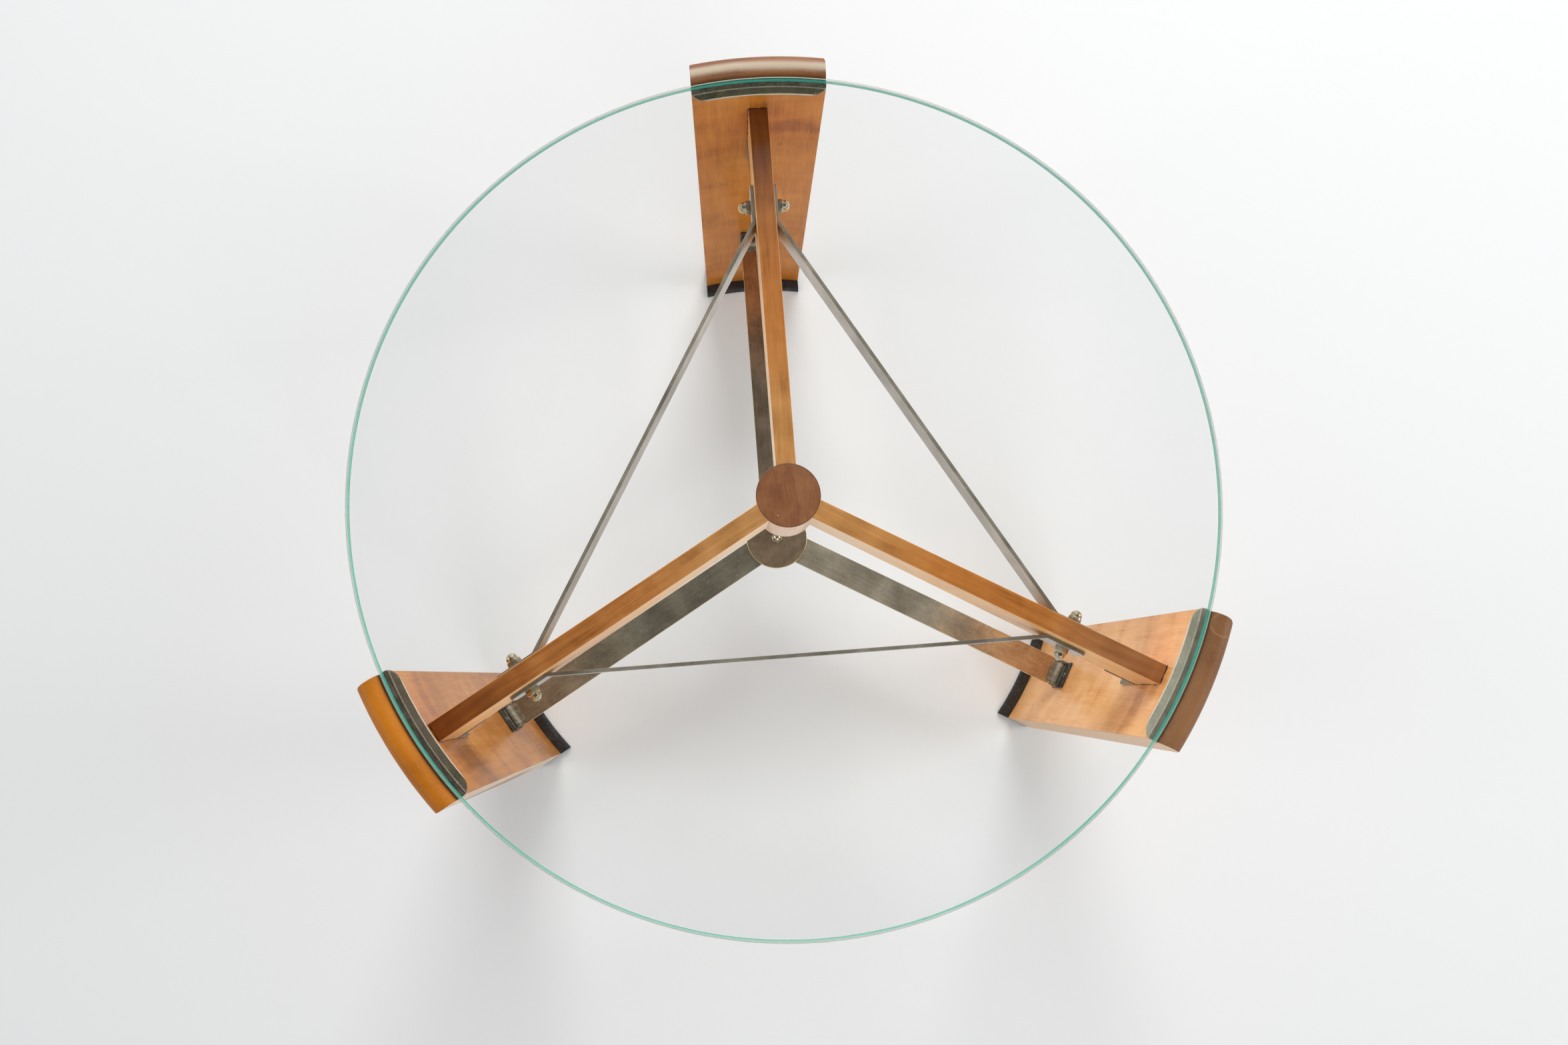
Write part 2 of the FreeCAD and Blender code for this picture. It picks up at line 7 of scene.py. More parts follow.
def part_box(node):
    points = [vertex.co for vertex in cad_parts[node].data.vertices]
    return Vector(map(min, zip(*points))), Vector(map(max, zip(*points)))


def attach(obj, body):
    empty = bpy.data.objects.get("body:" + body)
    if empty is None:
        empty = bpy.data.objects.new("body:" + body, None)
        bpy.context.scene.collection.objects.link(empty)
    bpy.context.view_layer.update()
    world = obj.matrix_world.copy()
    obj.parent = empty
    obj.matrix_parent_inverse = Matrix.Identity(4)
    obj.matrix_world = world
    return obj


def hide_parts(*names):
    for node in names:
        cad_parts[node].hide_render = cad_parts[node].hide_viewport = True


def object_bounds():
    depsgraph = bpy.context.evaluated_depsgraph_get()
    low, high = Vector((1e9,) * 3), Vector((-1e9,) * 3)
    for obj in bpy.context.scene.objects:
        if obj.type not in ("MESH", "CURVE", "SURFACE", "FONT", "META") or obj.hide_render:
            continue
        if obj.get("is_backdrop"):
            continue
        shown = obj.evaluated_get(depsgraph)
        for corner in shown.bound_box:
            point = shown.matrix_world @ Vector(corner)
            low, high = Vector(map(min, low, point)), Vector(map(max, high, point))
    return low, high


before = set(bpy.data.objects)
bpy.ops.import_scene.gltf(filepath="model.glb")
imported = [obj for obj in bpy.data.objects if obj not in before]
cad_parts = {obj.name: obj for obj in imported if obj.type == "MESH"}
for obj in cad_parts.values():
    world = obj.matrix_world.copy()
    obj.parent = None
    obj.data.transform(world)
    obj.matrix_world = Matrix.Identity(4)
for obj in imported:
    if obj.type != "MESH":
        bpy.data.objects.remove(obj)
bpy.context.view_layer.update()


# The three legs
# Each leg is one upright slab of pale hardwood bent round the table's axis, stained brown and lacquered.
# A rebate at its top takes the edge of the glass, and the wood outside the glass ends in a half round.

LEGS = tuple(enumerate("abc"))
LEG_STEP = radians(120)


def joining(operation):
    """A method that joins two values by one of the Math node's operations."""
    def join(first, second):
        return first.finish.add("ShaderNodeMath", {"operation": operation}, {0: first, 1: second})
    return join


class Value:
    """One output of a finish's nodes. Sums and products of values add the Math nodes that they need."""

    __add__ = __radd__ = joining("ADD")
    __sub__ = joining("SUBTRACT")
    __mul__ = __rmul__ = joining("MULTIPLY")
    __truediv__ = joining("DIVIDE")
    __pow__ = joining("POWER")
    larger = joining("MAXIMUM")
    smaller = joining("MINIMUM")

    def __init__(self, finish, socket):
        self.finish = finish
        self.socket = socket

    def __rsub__(self, other):
        return self.finish.add("ShaderNodeMath", {"operation": "SUBTRACT"}, {0: other, 1: self})

    def __abs__(self):
        return self.finish.add("ShaderNodeMath", {"operation": "ABSOLUTE"}, {0: self})

    def rise(self, low, high):
        """0 below low, 1 above high and smooth between."""
        inputs = {"Value": self, "From Min": low, "From Max": high}
        return self.finish.add("ShaderNodeMapRange", {"interpolation_type": "SMOOTHSTEP"}, inputs)


class Finish:
    """A material made of nodes, for one of the table's finishes, or the sky of the studio."""

    def __init__(self, name, kept_in=bpy.data.materials, output="ShaderNodeOutputMaterial"):
        self.owner = kept_in.new(name)
        self.owner.use_nodes = True
        self.tree = self.owner.node_tree
        self.tree.nodes.clear()
        self.output = self.tree.nodes.new(output)

    def add(self, kind, settings=None, inputs=None, output=0):
        """One node: its type, what is set on it first, and the values or links of its sockets."""
        node = self.tree.nodes.new(kind)
        for key, setting in (settings or {}).items():
            if key == "stops":
                for place, colour in setting[2:]:
                    node.color_ramp.elements.new(place)
                for element, (place, colour) in zip(node.color_ramp.elements, setting):
                    element.position = place
                    element.color = colour
            else:
                setattr(node, key, setting)
        for key, value in (inputs or {}).items():
            if isinstance(value, Value):
                self.tree.links.new(value.socket, node.inputs[key])
            else:
                node.inputs[key].default_value = value
        return Value(self, node.outputs[output])

    def place(self):
        """The point on the piece in metres, whole and then its X, Y and Z."""
        spot = self.add("ShaderNodeTexCoord", output="Object")
        return [spot] + [self.add("ShaderNodeSeparateXYZ", None, {0: spot}, axis) for axis in (0, 1, 2)]

    def facing(self, axis):
        """How far the surface faces along X, Y or Z."""
        normal = self.add("ShaderNodeNewGeometry", output="Normal")
        return self.add("ShaderNodeSeparateXYZ", None, {0: normal}, axis)

    def point(self, x, y, z):
        return self.add("ShaderNodeCombineXYZ", None, {0: x, 1: y, 2: z})

    def noise(self, spot, scale, detail, roughness, distortion=0.0):
        inputs = {"Vector": spot, "Scale": scale, "Detail": detail, "Roughness": roughness}
        return self.add("ShaderNodeTexNoise", None, dict(inputs, Distortion=distortion))

    def mix(self, share, low, high):
        """A colour between low and high. A plain one is given by its three values on a screen."""
        low, high = (end if isinstance(end, Value) else seen(*end) for end in (low, high))
        return self.add("ShaderNodeMix", {"data_type": "RGBA"}, {0: share, 6: low, 7: high}, 2)

    def ramp(self, share, stops):
        """A colour along stops, each of them a place and the colour's three values on a screen."""
        stops = [(place, seen(*colour)) for place, *colour in stops]
        return self.add("ShaderNodeValToRGB", {"stops": stops}, {0: share})

    def paint(self, share, colour):
        """A share of another colour laid over the colour so far."""
        self.colour = self.mix(share, self.colour, colour)

    def solid(self, roughness, height, depth, others=None):
        """The material, in its colour so far, from its roughness, its bumps' height and depth, and others."""
        bumps = self.add("ShaderNodeBump", None, {"Height": height, "Distance": depth, "Strength": 1.0})
        inputs = {"Base Color": self.colour, "Roughness": roughness, "Normal": bumps}
        inputs.update(others or {})
        return self.surface(self.add("ShaderNodeBsdfPrincipled", None, inputs))

    def surface(self, shader):
        self.tree.links.new(shader.socket, self.output.inputs["Surface"])
        return self.owner


def seen(red, green, blue):
    """A colour from its three values on a screen, 0 to 255."""
    linear = []
    for level in (red, green, blue):
        share = level / 255
        linear.append(share / 12.92 if share <= 0.04045 else ((share + 0.055) / 1.055) ** 2.4)
    return tuple(linear) + (1.0,)


def swing(level, *layers):
    """The level, moved up and down by each noise as far as its strength says."""
    for noise, strength in layers:
        level = level + (noise - 0.5) * strength
    return level


def from_middle(x, y):
    """The distance from the middle, from how far off it a point lies in each of two ways."""
    return (x * x + y * y) ** 0.5


def new_piece(name, points, faces):
    mesh = bpy.data.meshes.new(name)
    mesh.from_pydata(points, [], faces)
    mesh.update()
    mesh.shade_smooth()
    piece = bpy.data.objects.new(name, mesh)
    bpy.context.scene.collection.objects.link(piece)
    return piece


def skin(name, rings):
    """A closed piece from rings of points, its two ends filled and flat, its faces turned outwards."""
    points = [point for ring in rings for point in ring]
    count = len(rings[0])
    faces = []
    for ring in range(len(rings) - 1):
        here = ring * count
        after = here + count
        for side in range(count):
            beside = (side + 1) % count
            faces.append((here + side, here + beside, after + beside, after + side))
    faces.append(tuple(range(count))[::-1])
    faces.append(tuple(range(len(points) - count, len(points))))
    piece = new_piece(name, points, faces)
    shape = bmesh.new()
    shape.from_mesh(piece.data)
    bmesh.ops.recalc_face_normals(shape, faces=shape.faces)
    shape.to_mesh(piece.data)
    shape.free()
    return flat_ends(piece)


def flat_ends(piece):
    """Faces with many corners are the flat ends of a piece, and are shaded flat."""
    for face in piece.data.polygons:
        face.use_smooth = len(face.vertices) < 5
    return piece


def ease(piece, width, segments=3):
    """The sharp edges of a piece taken off, as by sandpaper or a file."""
    bevel = piece.modifiers.new("eased edges", "BEVEL")
    bevel.width = width
    bevel.segments = segments
    bevel.limit_method = "ANGLE"
    bevel.angle_limit = radians(35)
    bevel.miter_outer = "MITER_ARC"
    normals = piece.modifiers.new("flat faces", "WEIGHTED_NORMAL")
    normals.keep_sharp = True
    return piece


def crease(piece, angle=30):
    """Smooth where the piece is round, with sharp lines where its faces turn by more than the angle."""
    piece.data.set_sharp_from_angle(angle=radians(angle))
    return flat_ends(piece)


def fit(piece, material, body, slot, *nodes):
    """The piece gets its finish, rides on its body and stands for its nodes."""
    piece.data.materials.append(material)
    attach(piece, body)
    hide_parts(*nodes)
    return piece


def at_leg(piece, index):
    """A piece made for leg a, turned round to another leg."""
    piece.matrix_world = Matrix.Rotation(-LEG_STEP * index, 4, "Z") @ piece.matrix_world
    return piece


def across(half, steps):
    """Even places across a piece, from its left end to its right."""
    return [half * (2 * step / steps - 1) for step in range(steps + 1)]


def on_bend(x, outline):
    """Points given by radius and height, at one place across the bend."""
    return [(x, sqrt(radius ** 2 - x ** 2), height) for radius, height in outline]


def arc_points(centre_radius, centre_height, radius, start, end, steps):
    """Points on an arc in the plane of radius and height, by its two angles in degrees."""
    points = []
    for step in range(steps + 1):
        turn = radians(start + (end - start) * step / steps)
        points.append((centre_radius + radius * cos(turn), centre_height + radius * sin(turn)))
    return points


leg_low, leg_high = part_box("leg_a")
glass_low, glass_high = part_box("glass_top")
half_width = leg_high.x
leg_outer = leg_high.y
leg_inner = hypot(leg_low.y, half_width)
bracket_steel = 0.003
rebate_floor = glass_low.z - bracket_steel
glass_clearance = 0.002
rebate_wall = glass_high.x + glass_clearance
crown_radius = (leg_outer - rebate_wall) / 2
crown_spring = leg_high.z - crown_radius
crown_blend = 0.030
square_corner = 0.0001
leg_sanding = 0.0012
knot_depth = 0.020
knot_radius = 0.015

leg_outline = [(leg_inner, leg_low.z), (leg_inner, rebate_floor), (rebate_wall, rebate_floor)]
leg_outline += arc_points(rebate_wall + crown_radius, crown_spring, crown_radius, 180, 0, 14)
leg_outline += [(leg_outer, leg_low.z)]

strut_low, strut_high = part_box("upper_strut_a")
strut_half = strut_high.x
strut_top = strut_high.z
strut_foot = strut_low.z


def leg_slab(name, end_rounds, steps=24):
    """The slab, the outer corners of its crown rubbed round in plan and its arrises sanded off a little."""
    rings = []
    for share in across(1.0, steps):
        end_round = end_rounds[0 if share < 0 else 1]
        ring = []
        for radius, height in leg_outline:
            rise = min(max((height - crown_spring + crown_blend) / crown_blend, 0.0), 1.0)
            corner = max(end_round * rise, square_corner)
            past = min(max(radius - (leg_outer - corner), 0.0), corner)
            end = half_width - corner + sqrt(corner ** 2 - past ** 2)
            ring += on_bend(share * end, [(radius, height)])
        rings.append(ring)
    return ease(skin(name, rings), leg_sanding)


def leg_wood(name, stops, crown_dark, crown_light, end_sheen_colour, clouds, knot_x=None, banded=False):
    """Upright grain on the faces, end grain on the crown, soft bands across, darker clouds and a painted
    sheen on the end faces.
    """
    finish = Finish(name)
    spot, x, y, z = finish.place()
    up = finish.facing(2)
    radius = from_middle(x, y)
    along_bend = finish.add("ShaderNodeMath", {"operation": "ARCTAN2"}, {0: x, 1: y}) * leg_outer
    through = radius - leg_inner
    fibres = finish.noise(finish.point(along_bend, through, z * 0.030), 620, 3, 0.6)
    figure = finish.noise(finish.point(along_bend, through, z * 0.12), 60, 3, 0.55, 0.5)
    curl = finish.noise(finish.point(along_bend * 0.3, through * 0.3, z), 26, 3, 0.5, 0.8)
    mottle = finish.noise(spot, 9, 3, 0.55, 0.6)
    pores = finish.noise(spot, 1100, 2, 0.7)
    tone = swing(0.5, (fibres, 0.75), (figure, 0.65), (curl, 0.65), (mottle, 0.75), (pores, 0.45))
    warp = (mottle - 0.5) * 1.5 + (figure - 0.5) * 0.5
    for cloud_x, cloud_z, reach_x, reach_z, depth in clouds:
        distance = from_middle((along_bend - cloud_x) / reach_x, (z - cloud_z) / reach_z) + warp
        tone = tone - (1 - distance.rise(0.2, 1.3)) * depth
    face = finish.ramp(tone, stops)
    # A broken black line of old glue runs round the strut's joint, and the arrises are a little darker.
    rough_edge = finish.noise(spot, 260, 4, 0.7)
    beside = abs(x) - strut_half
    above = abs(z - (strut_top + strut_foot) / 2) - (strut_top - strut_foot) / 2
    from_joint = swing(beside.larger(above), (rough_edge, 0.0022))
    broken = finish.noise(spot, 90, 3, 0.6).rise(0.40, 0.56)
    joint = (1 - from_joint.rise(0.0005, 0.0016)) * broken * (1 - through.rise(0.0, 0.002))
    face = finish.mix(joint * 0.95, face, (30, 18, 12))
    arris = swing(abs(x), (rough_edge, 0.0012)).rise(half_width - 0.0014, half_width - 0.0003)
    face = finish.mix(arris * 0.4, face, (84, 48, 28))
    # The end faces are painted paler than the wood, a painted sheen.
    end_face_sheen = abs(up).rise(0.5, 0.1) * abs(x).rise(half_width - 0.0010, half_width - 0.0003)
    face = finish.mix(end_face_sheen * 0.75, face, end_sheen_colour)
    end_tone = swing(0.5, (pores, 0.9), (mottle, 0.9))
    if knot_x:
        from_ring = from_middle(x - knot_x, y - (leg_outer - knot_depth)) - knot_radius
        from_ring = abs(swing(from_ring, (mottle, 0.004)))
        end_tone = end_tone + (1 - from_ring.rise(0.0002, 0.0014)) * 0.45
    end_grain = finish.mix(end_tone.rise(0.1, 0.9), crown_dark, crown_light)
    if banded:
        # The lamps' pale band along the crown is painted, since a lamp there would show in the glass.
        out = swing(radius - (rebate_wall + crown_radius), (pores, 0.004), (mottle, 0.006))
        band = out.rise(-0.0105, -0.0035) * (1 - out.rise(-0.0010, 0.0060))
        end_grain = finish.mix(band * 0.85, end_grain, (226, 208, 182))
    bottom = 1 - z.rise(crown_spring - 0.004, crown_spring + 0.008)
    end_grain = finish.mix(bottom * 0.7, end_grain, crown_dark)
    crown = up.rise(0.05, 0.6) * z.rise(rebate_floor - 0.002, rebate_floor)
    # The rebate under the glass is painted dark brown, partly the stained wood and partly painted shade under
    # the glass.
    rebate_stain_and_shade = (1 - through.rise(0.0093, 0.0120)) * z.rise(rebate_floor, rebate_floor + 0.001)
    finish.colour = finish.mix(crown, face, end_grain)
    finish.paint(rebate_stain_and_shade, (52, 30, 16))
    others = {"Specular IOR Level": 0.3}
    if banded:
        others.update({"Coat Weight": crown * 0.12, "Coat Roughness": 0.42, "Coat IOR": 1.8})
    rough = swing(0.30, (mottle, 0.10)) + crown * 0.14
    return finish.solid(rough, fibres * 0.5 + pores * 0.25 + figure * 0.4, 0.00022, others)


honey_stops = [
    (0.15, 156, 88, 26), (0.42, 192, 118, 40), (0.60, 204, 128, 48), (0.88, 218, 148, 68)]
peach_stops = [
    (0.15, 198, 132, 70), (0.42, 234, 168, 104), (0.60, 242, 182, 120), (0.88, 248, 198, 144)]
amber_stops = [
    (0.15, 140, 82, 24), (0.42, 174, 108, 42), (0.60, 188, 122, 54), (0.88, 208, 144, 78)]
# The colour after each leg's two crown colours is the painted sheen on its end faces.
leg_woods = [
    leg_wood("honey leg wood", honey_stops, (96, 48, 10), (160, 96, 34), (214, 168, 120),
             [(0.055, 0.615, 0.060, 0.055, 0.12), (0.036, 0.569, 0.005, 0.006, 0.24)], banded=True),
    leg_wood("peach leg wood", peach_stops, (98, 60, 34), (158, 112, 72), (236, 190, 144),
             [(0.034, 0.610, 0.040, 0.050, 0.10), (0.039, 0.365, 0.018, 0.020, 0.20),
              (0.030, 0.446, 0.060, 0.006, 0.14)], -0.078),
    leg_wood("amber leg wood", amber_stops, (136, 74, 10), (212, 128, 22), (242, 222, 194),
             [(-0.045, 0.590, 0.050, 0.040, 0.15)]),
]
crown_end_rounds = ((0.0020, 0.0050), (0.0090, 0.0015), (0.0030, 0.0045))
for index, letter in LEGS:
    leg = at_leg(leg_slab("leg_" + letter + "_wood", crown_end_rounds[index]), index)
    fit(leg, leg_woods[index], "base", "leg_wood", "leg_" + letter)


# The foot shoes
# A flat black shoe is glued under each leg. It sticks out towards the middle of the table in a rounded toe,
# and its lacquer is scuffed grey in patches.

shoe_low, shoe_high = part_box("foot_shoe_a")
shoe_toe = hypot(shoe_low.y, half_width)
toe_round = 0.008
shoe_sanding = 0.0016
shoe_outline = [(shoe_toe, shoe_low.z)]
shoe_outline += arc_points(shoe_toe + toe_round, shoe_high.z - toe_round, toe_round, 180, 90, 6)
shoe_outline += [(leg_outer, shoe_high.z), (leg_outer, shoe_low.z)]


def shoe_black():
    finish = Finish("black shoe lacquer")
    spot = finish.place()[0]
    scuffs = finish.noise(spot, 190, 5, 0.7)
    dust = finish.noise(spot, 36, 4, 0.6)
    share = (scuffs + dust * 0.5).rise(0.68, 1.0) * 0.6
    finish.colour = finish.mix(share, (30, 29, 31), (88, 84, 78))
    return finish.solid(swing(0.34, (dust, 0.3)), scuffs * 0.6 + dust, 0.0004)


shoe_material = shoe_black()
for index, letter in LEGS:
    shoe = skin("foot_shoe_" + letter + "_black", [on_bend(x, shoe_outline) for x in across(half_width, 24)])
    fit(at_leg(ease(shoe, shoe_sanding), index), shoe_material, "base", "black_rubber", "foot_shoe_" + letter)


# The glass brackets and their screws
# A strip of 3 mm steel lies on the rebate under the glass. Its inner part is a lip that slopes down a little,
# with round corners and a filed edge, and a flange welded under it is screwed to the leg's face.

bracket_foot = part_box("glass_bracket_a")[0].z
lip_reach = 0.0125
lip_drop = 0.003
lip_corner = 0.024
lip_corner_depth = 0.016
flange_rise = 0.008
flange_corner_height = 0.027
flange_inset = 0.0024
flange_least = 0.002
bracket_filing = 0.0005
lip_inner = leg_inner - lip_reach
fold_radius = leg_inner - bracket_steel


def steel(name, dark, light, bright, worn, roughness, tarnish=0.0, metal=0.9):
    """Steel under a dark patina, rubbed back to metal where worn says, from the finish and its x, y, z. On
    the brackets the same bright colour also paints a highlight along the fold.
    """
    finish = Finish(name)
    spot, x, y, z = finish.place()
    clouds = finish.noise(spot, 18, 5, 0.6, 0.4)
    grit = finish.noise(spot, 700, 3, 0.7)
    specks = finish.noise(spot, 300, 2, 0.5).rise(0.71, 0.76)
    tone = swing(0.5, (clouds, 1.6), (grit, 0.7))
    finish.colour = finish.mix(tone.rise(0.0, 1.0), dark, light)
    if tarnish:
        stain = finish.noise(spot, 42, 4, 0.6).rise(0.48, 0.66) * tarnish
        finish.paint(stain, (112, 104, 58))
    rub = finish.noise(spot, 90, 4, 0.7)
    bare_and_highlight = (worn(finish, x, y, z) * (0.65 + rub * 0.7)).smaller(1.0)
    finish.paint((bare_and_highlight + specks * 0.5).smaller(1.0), bright)
    rough = swing(roughness, (clouds, 0.22), (grit, 0.15)) - bare_and_highlight * 0.1
    return finish.solid(rough, grit * 0.5 + clouds * 0.6, 0.00010, {"Metallic": metal})


def lip_edge_and_fold_highlight(finish, x, y, z):
    """The filed edge of the lip, a painted highlight along the fold and pale streaks beyond it."""
    radius = from_middle(x, y)
    edge = 1 - radius.rise(lip_inner + 0.0008, lip_inner + 0.0016)
    # The bright line along the fold is a painted highlight.
    fold = 1 - abs(radius - fold_radius).rise(0.0004, 0.0012)
    streak = finish.noise(finish.point(x * 0.2, radius, z), 260, 3, 0.6).rise(0.40, 0.62)
    outside = radius.rise(fold_radius + 0.001, fold_radius + 0.003) * (0.06 + streak * 0.28)
    return edge.larger(fold * 0.35).larger(outside)


def bracket_strip(name):
    """The strip's upper side from the lip's edge to the rebate's wall, with its thickness below."""
    top = glass_low.z
    fold = 0.0014
    fold_dip = 0.00012
    wall_gap = 0.0002
    before_fold = (fold_radius - fold, top - lip_drop * fold / (fold_radius - lip_inner))
    path = [(lip_inner, top - lip_drop), before_fold, (fold_radius, top - fold_dip)]
    path = fill(path + [(fold_radius + fold, top), (rebate_wall - wall_gap, top)], 0.0015)
    points = []
    faces = []
    steps = 40
    run = 0.0
    for row, (radius, height) in enumerate(path):
        if row:
            run += dist(path[row - 1], path[row])
        short = max(1 - run / lip_corner_depth, 0.0)
        half = half_width - lip_corner + lip_corner * sqrt(1 - short ** 2)
        for x in across(half, steps):
            points += on_bend(x, [(radius, height)])
        if row:
            for step in range(steps):
                here = row * (steps + 1) + step
                faces.append((here, here - steps - 1, here - steps, here + 1))
    piece = new_piece(name, points, faces)
    wall = piece.modifiers.new("sheet thickness", "SOLIDIFY")
    wall.thickness = bracket_steel
    wall.offset = -1.0
    return piece


def fill(path, spacing):
    """A path with points added, so that none are further apart than the spacing."""
    filled = [path[0]]
    for start, end in zip(path, path[1:]):
        parts = max(1, ceil(dist(start, end) / spacing))
        for part in range(1, parts + 1):
            share = part / parts
            filled.append(tuple(a + (b - a) * share for a, b in zip(start, end)))
    return filled


def joined(name, pieces):
    """Several meshes as one piece, their modifiers applied."""
    reader = bpy.context.evaluated_depsgraph_get()
    points, faces = [], []
    for piece in pieces:
        mesh = piece.evaluated_get(reader).to_mesh()
        start = len(points)
        points += [tuple(piece.matrix_world @ v.co) for v in mesh.vertices]
        faces += [tuple(start + v for v in polygon.vertices) for polygon in mesh.polygons]
        bpy.data.objects.remove(piece)
    return crease(new_piece(name, points, faces), 35)


def bracket_flange(name, steps=48):
    """The flange, its lower corners cut round like the lip's, so that it hides under the lip."""
    rings = []
    for x in across(half_width - flange_inset, steps):
        past = max((abs(x) - half_width + lip_corner) / lip_corner, 0.0)
        lift = flange_corner_height * (1 - sqrt(1 - past ** 2))
        foot = min(bracket_foot + flange_rise + lift, rebate_floor - flange_least)
        near, far = fold_radius, leg_inner
        corners = ((near, foot), (near, rebate_floor), (far, rebate_floor), (far, foot))
        rings.append(on_bend(x, corners))
    return skin(name, rings)


def glass_bracket(name):
    parts = (bracket_strip("bracket strip"), bracket_flange("bracket flange"))
    return joined(name, [ease(part, bracket_filing, 2) for part in parts])


# The brackets' steel differs from leg to leg, partly in its patina and partly as painted reflection: darker
# on leg a and paler on leg b.
bracket_materials = [
    steel("dark bracket steel, partly painted reflection", (70, 68, 54), (106, 104, 84), (225, 214, 190), lip_edge_and_fold_highlight, 0.3, 0.6, 0.4),
    steel("pale bracket steel, partly painted reflection", (138, 138, 120), (188, 186, 164), (238, 226, 212), lip_edge_and_fold_highlight, 0.34, 0.4, 0.4),
    steel("brown bracket steel", (78, 70, 56), (112, 102, 84), (225, 205, 190), lip_edge_and_fold_highlight, 0.3, 0.4, 0.4),
]
screw_material = steel(
    "screw steel", (96, 92, 84), (150, 146, 136), (190, 184, 170),
    lambda finish, x, y, z: z.rise(0.0018, 0.0026), 0.32)


screw_slots = (("bracket_screw_left", 20), ("bracket_screw_right", 75), ("angle_screw_leg", 130))
screw_head_height = 0.0024
screw_length = 0.028
end_depth = 0.0005
upright_length = 0.020


def round_ring(radius, height, count=96):
    turns = [2 * pi * side / count for side in range(count)]
    return [(radius * cos(turn), radius * sin(turn), height) for turn in turns]


def screw(name, head_radius=0.0045, slot_half=0.0006, shank=0.00225):
    """A slotted round head standing on the origin along +Z, with its shank below."""
    rings = [(shank, -screw_length), (shank, 0.0), (head_radius, 0.0)]
    for step in range(1, 10):
        turn = step / 10 * pi / 2
        rings.append((head_radius * cos(turn), screw_head_height * sin(turn)))
    slot_floor = screw_head_height * 0.45
    loops = []
    for radius, height in rings:
        loop = []
        for x, y, _ in round_ring(radius, height, 40):
            inside = height > 0 and abs(y) < slot_half * 1.4
            loop.append((x, y, min(height, slot_floor) if inside else height))
        loops.append(loop)
    return crease(skin(name, loops))


def screw_at(node, slot_turn):
    """A screw put where the frame has it, its head at the end that is nearer the table's axis or lower."""
    low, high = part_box(node)
    piece = screw(node + "_head")
    points = [Vector(v.co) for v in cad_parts[node].data.vertices]
    middle = (low + high) / 2
    if high.z - low.z > upright_length:
        direction = Vector((0, 0, -1))
        seat = Vector((middle.x, middle.y, high.z - screw_length))
    else:
        outward = Vector((middle.x, middle.y, 0)).normalized()
        reach = [p.dot(outward) for p in points]
        tips = [p for p, r in zip(points, reach) if r > max(reach) - end_depth]
        heads = [p for p, r in zip(points, reach) if r < min(reach) + end_depth]
        tip = sum(tips, Vector()) / len(tips)
        head = sum(heads, Vector()) / len(heads)
        direction = (head - tip).normalized()
        seat = head - direction * screw_head_height
    turn = direction.to_track_quat("Z", "Y").to_matrix().to_4x4()
    piece.matrix_world = Matrix.Translation(seat) @ turn @ Matrix.Rotation(radians(slot_turn), 4, "Z")
    return piece


for index, letter in LEGS:
    bracket = at_leg(glass_bracket("glass_bracket_" + letter + "_steel"), index)
    fit(bracket, bracket_materials[index], "base", "patina_steel", "glass_bracket_" + letter)
    for place, slot_turn in screw_slots:
        node = place + "_" + letter
        fit(screw_at(node, slot_turn + 17 * index), screw_material, "base", "screw_steel", node)


# The hub
# A short round block of the same hardwood, turned on a lathe and stained darker, with its end grain up.
# The three struts are let into its sides.

hub_low, hub_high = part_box("hub_block")
hub_radius = hub_high.x


def turned_piece(name, profile, count):
    """A lathe piece round an upright axis, from (radius, height) points from its foot to its top."""
    return crease(skin(name, [round_ring(radius, height, count) for radius, height in profile]))


def hub_wood():
    finish = Finish("hub end grain")
    spot, x, y, z = finish.place()
    waver = finish.noise(finish.point(x, y, z * 0.1), 22, 3, 0.6)
    distance = swing(from_middle(x + 0.24, y + 0.03), (waver, 0.02))
    rings = finish.noise(finish.point(distance, distance * 0.1, z * 0.02), 150, 3, 0.6)
    grain = finish.noise(finish.point(x * 1.5, y * 0.12, z * 0.05), 320, 3, 0.6)
    mottle = finish.noise(spot, 30, 4, 0.6)
    tone = swing(0.5, (rings, 0.4), (grain, 0.35), (mottle, 0.9))
    top = finish.ramp(tone, [(0.1, 72, 36, 14), (0.5, 122, 76, 46), (0.9, 150, 102, 66)])
    # The side is painted far paler than the end grain on top. This is partly the side grain's own paler
    # colour and partly a painted sheen.
    upright = finish.noise(finish.point(x, y, z * 0.06), 160, 4, 0.6)
    side_tone = swing(0.5, (upright, 0.9), (mottle, 0.6))
    side = finish.ramp(side_tone, [(0.1, 214, 164, 128), (0.5, 248, 212, 182), (0.9, 252, 228, 204)])
    up = finish.facing(2)
    finish.colour = finish.mix(up.rise(0.3, 0.8), side, top)
    rim = swing(from_middle(x, y), (mottle, 0.002)).rise(hub_radius - 0.0022, hub_radius - 0.0006)
    finish.paint(rim * up.rise(0.1, 0.5) * 0.45, (70, 36, 18))
    dots = finish.noise(spot, 210, 1, 0.5).rise(0.80, 0.82) * up.rise(0.5, 0.9)
    finish.paint(dots * 0.7, (206, 180, 150))
    return finish.solid(swing(0.32, (mottle, 0.15)), grain * 0.5 + mottle * 0.3 + rings * 0.4, 0.00022)


hub_foot_round = 0.002
hub_top_round = 0.0009
hub_foot_middle = 0.002
hub_profile = [(hub_foot_middle, hub_low.z)]
hub_profile += arc_points(hub_radius - hub_foot_round, hub_low.z + hub_foot_round, hub_foot_round, -90, 0, 5)
hub_profile += arc_points(hub_radius - hub_top_round, hub_high.z - hub_top_round, hub_top_round, 0, 90, 4)
hub = turned_piece("hub_wood", hub_profile, 128)
fit(hub, hub_wood(), "base", "hub_wood", "hub_block")


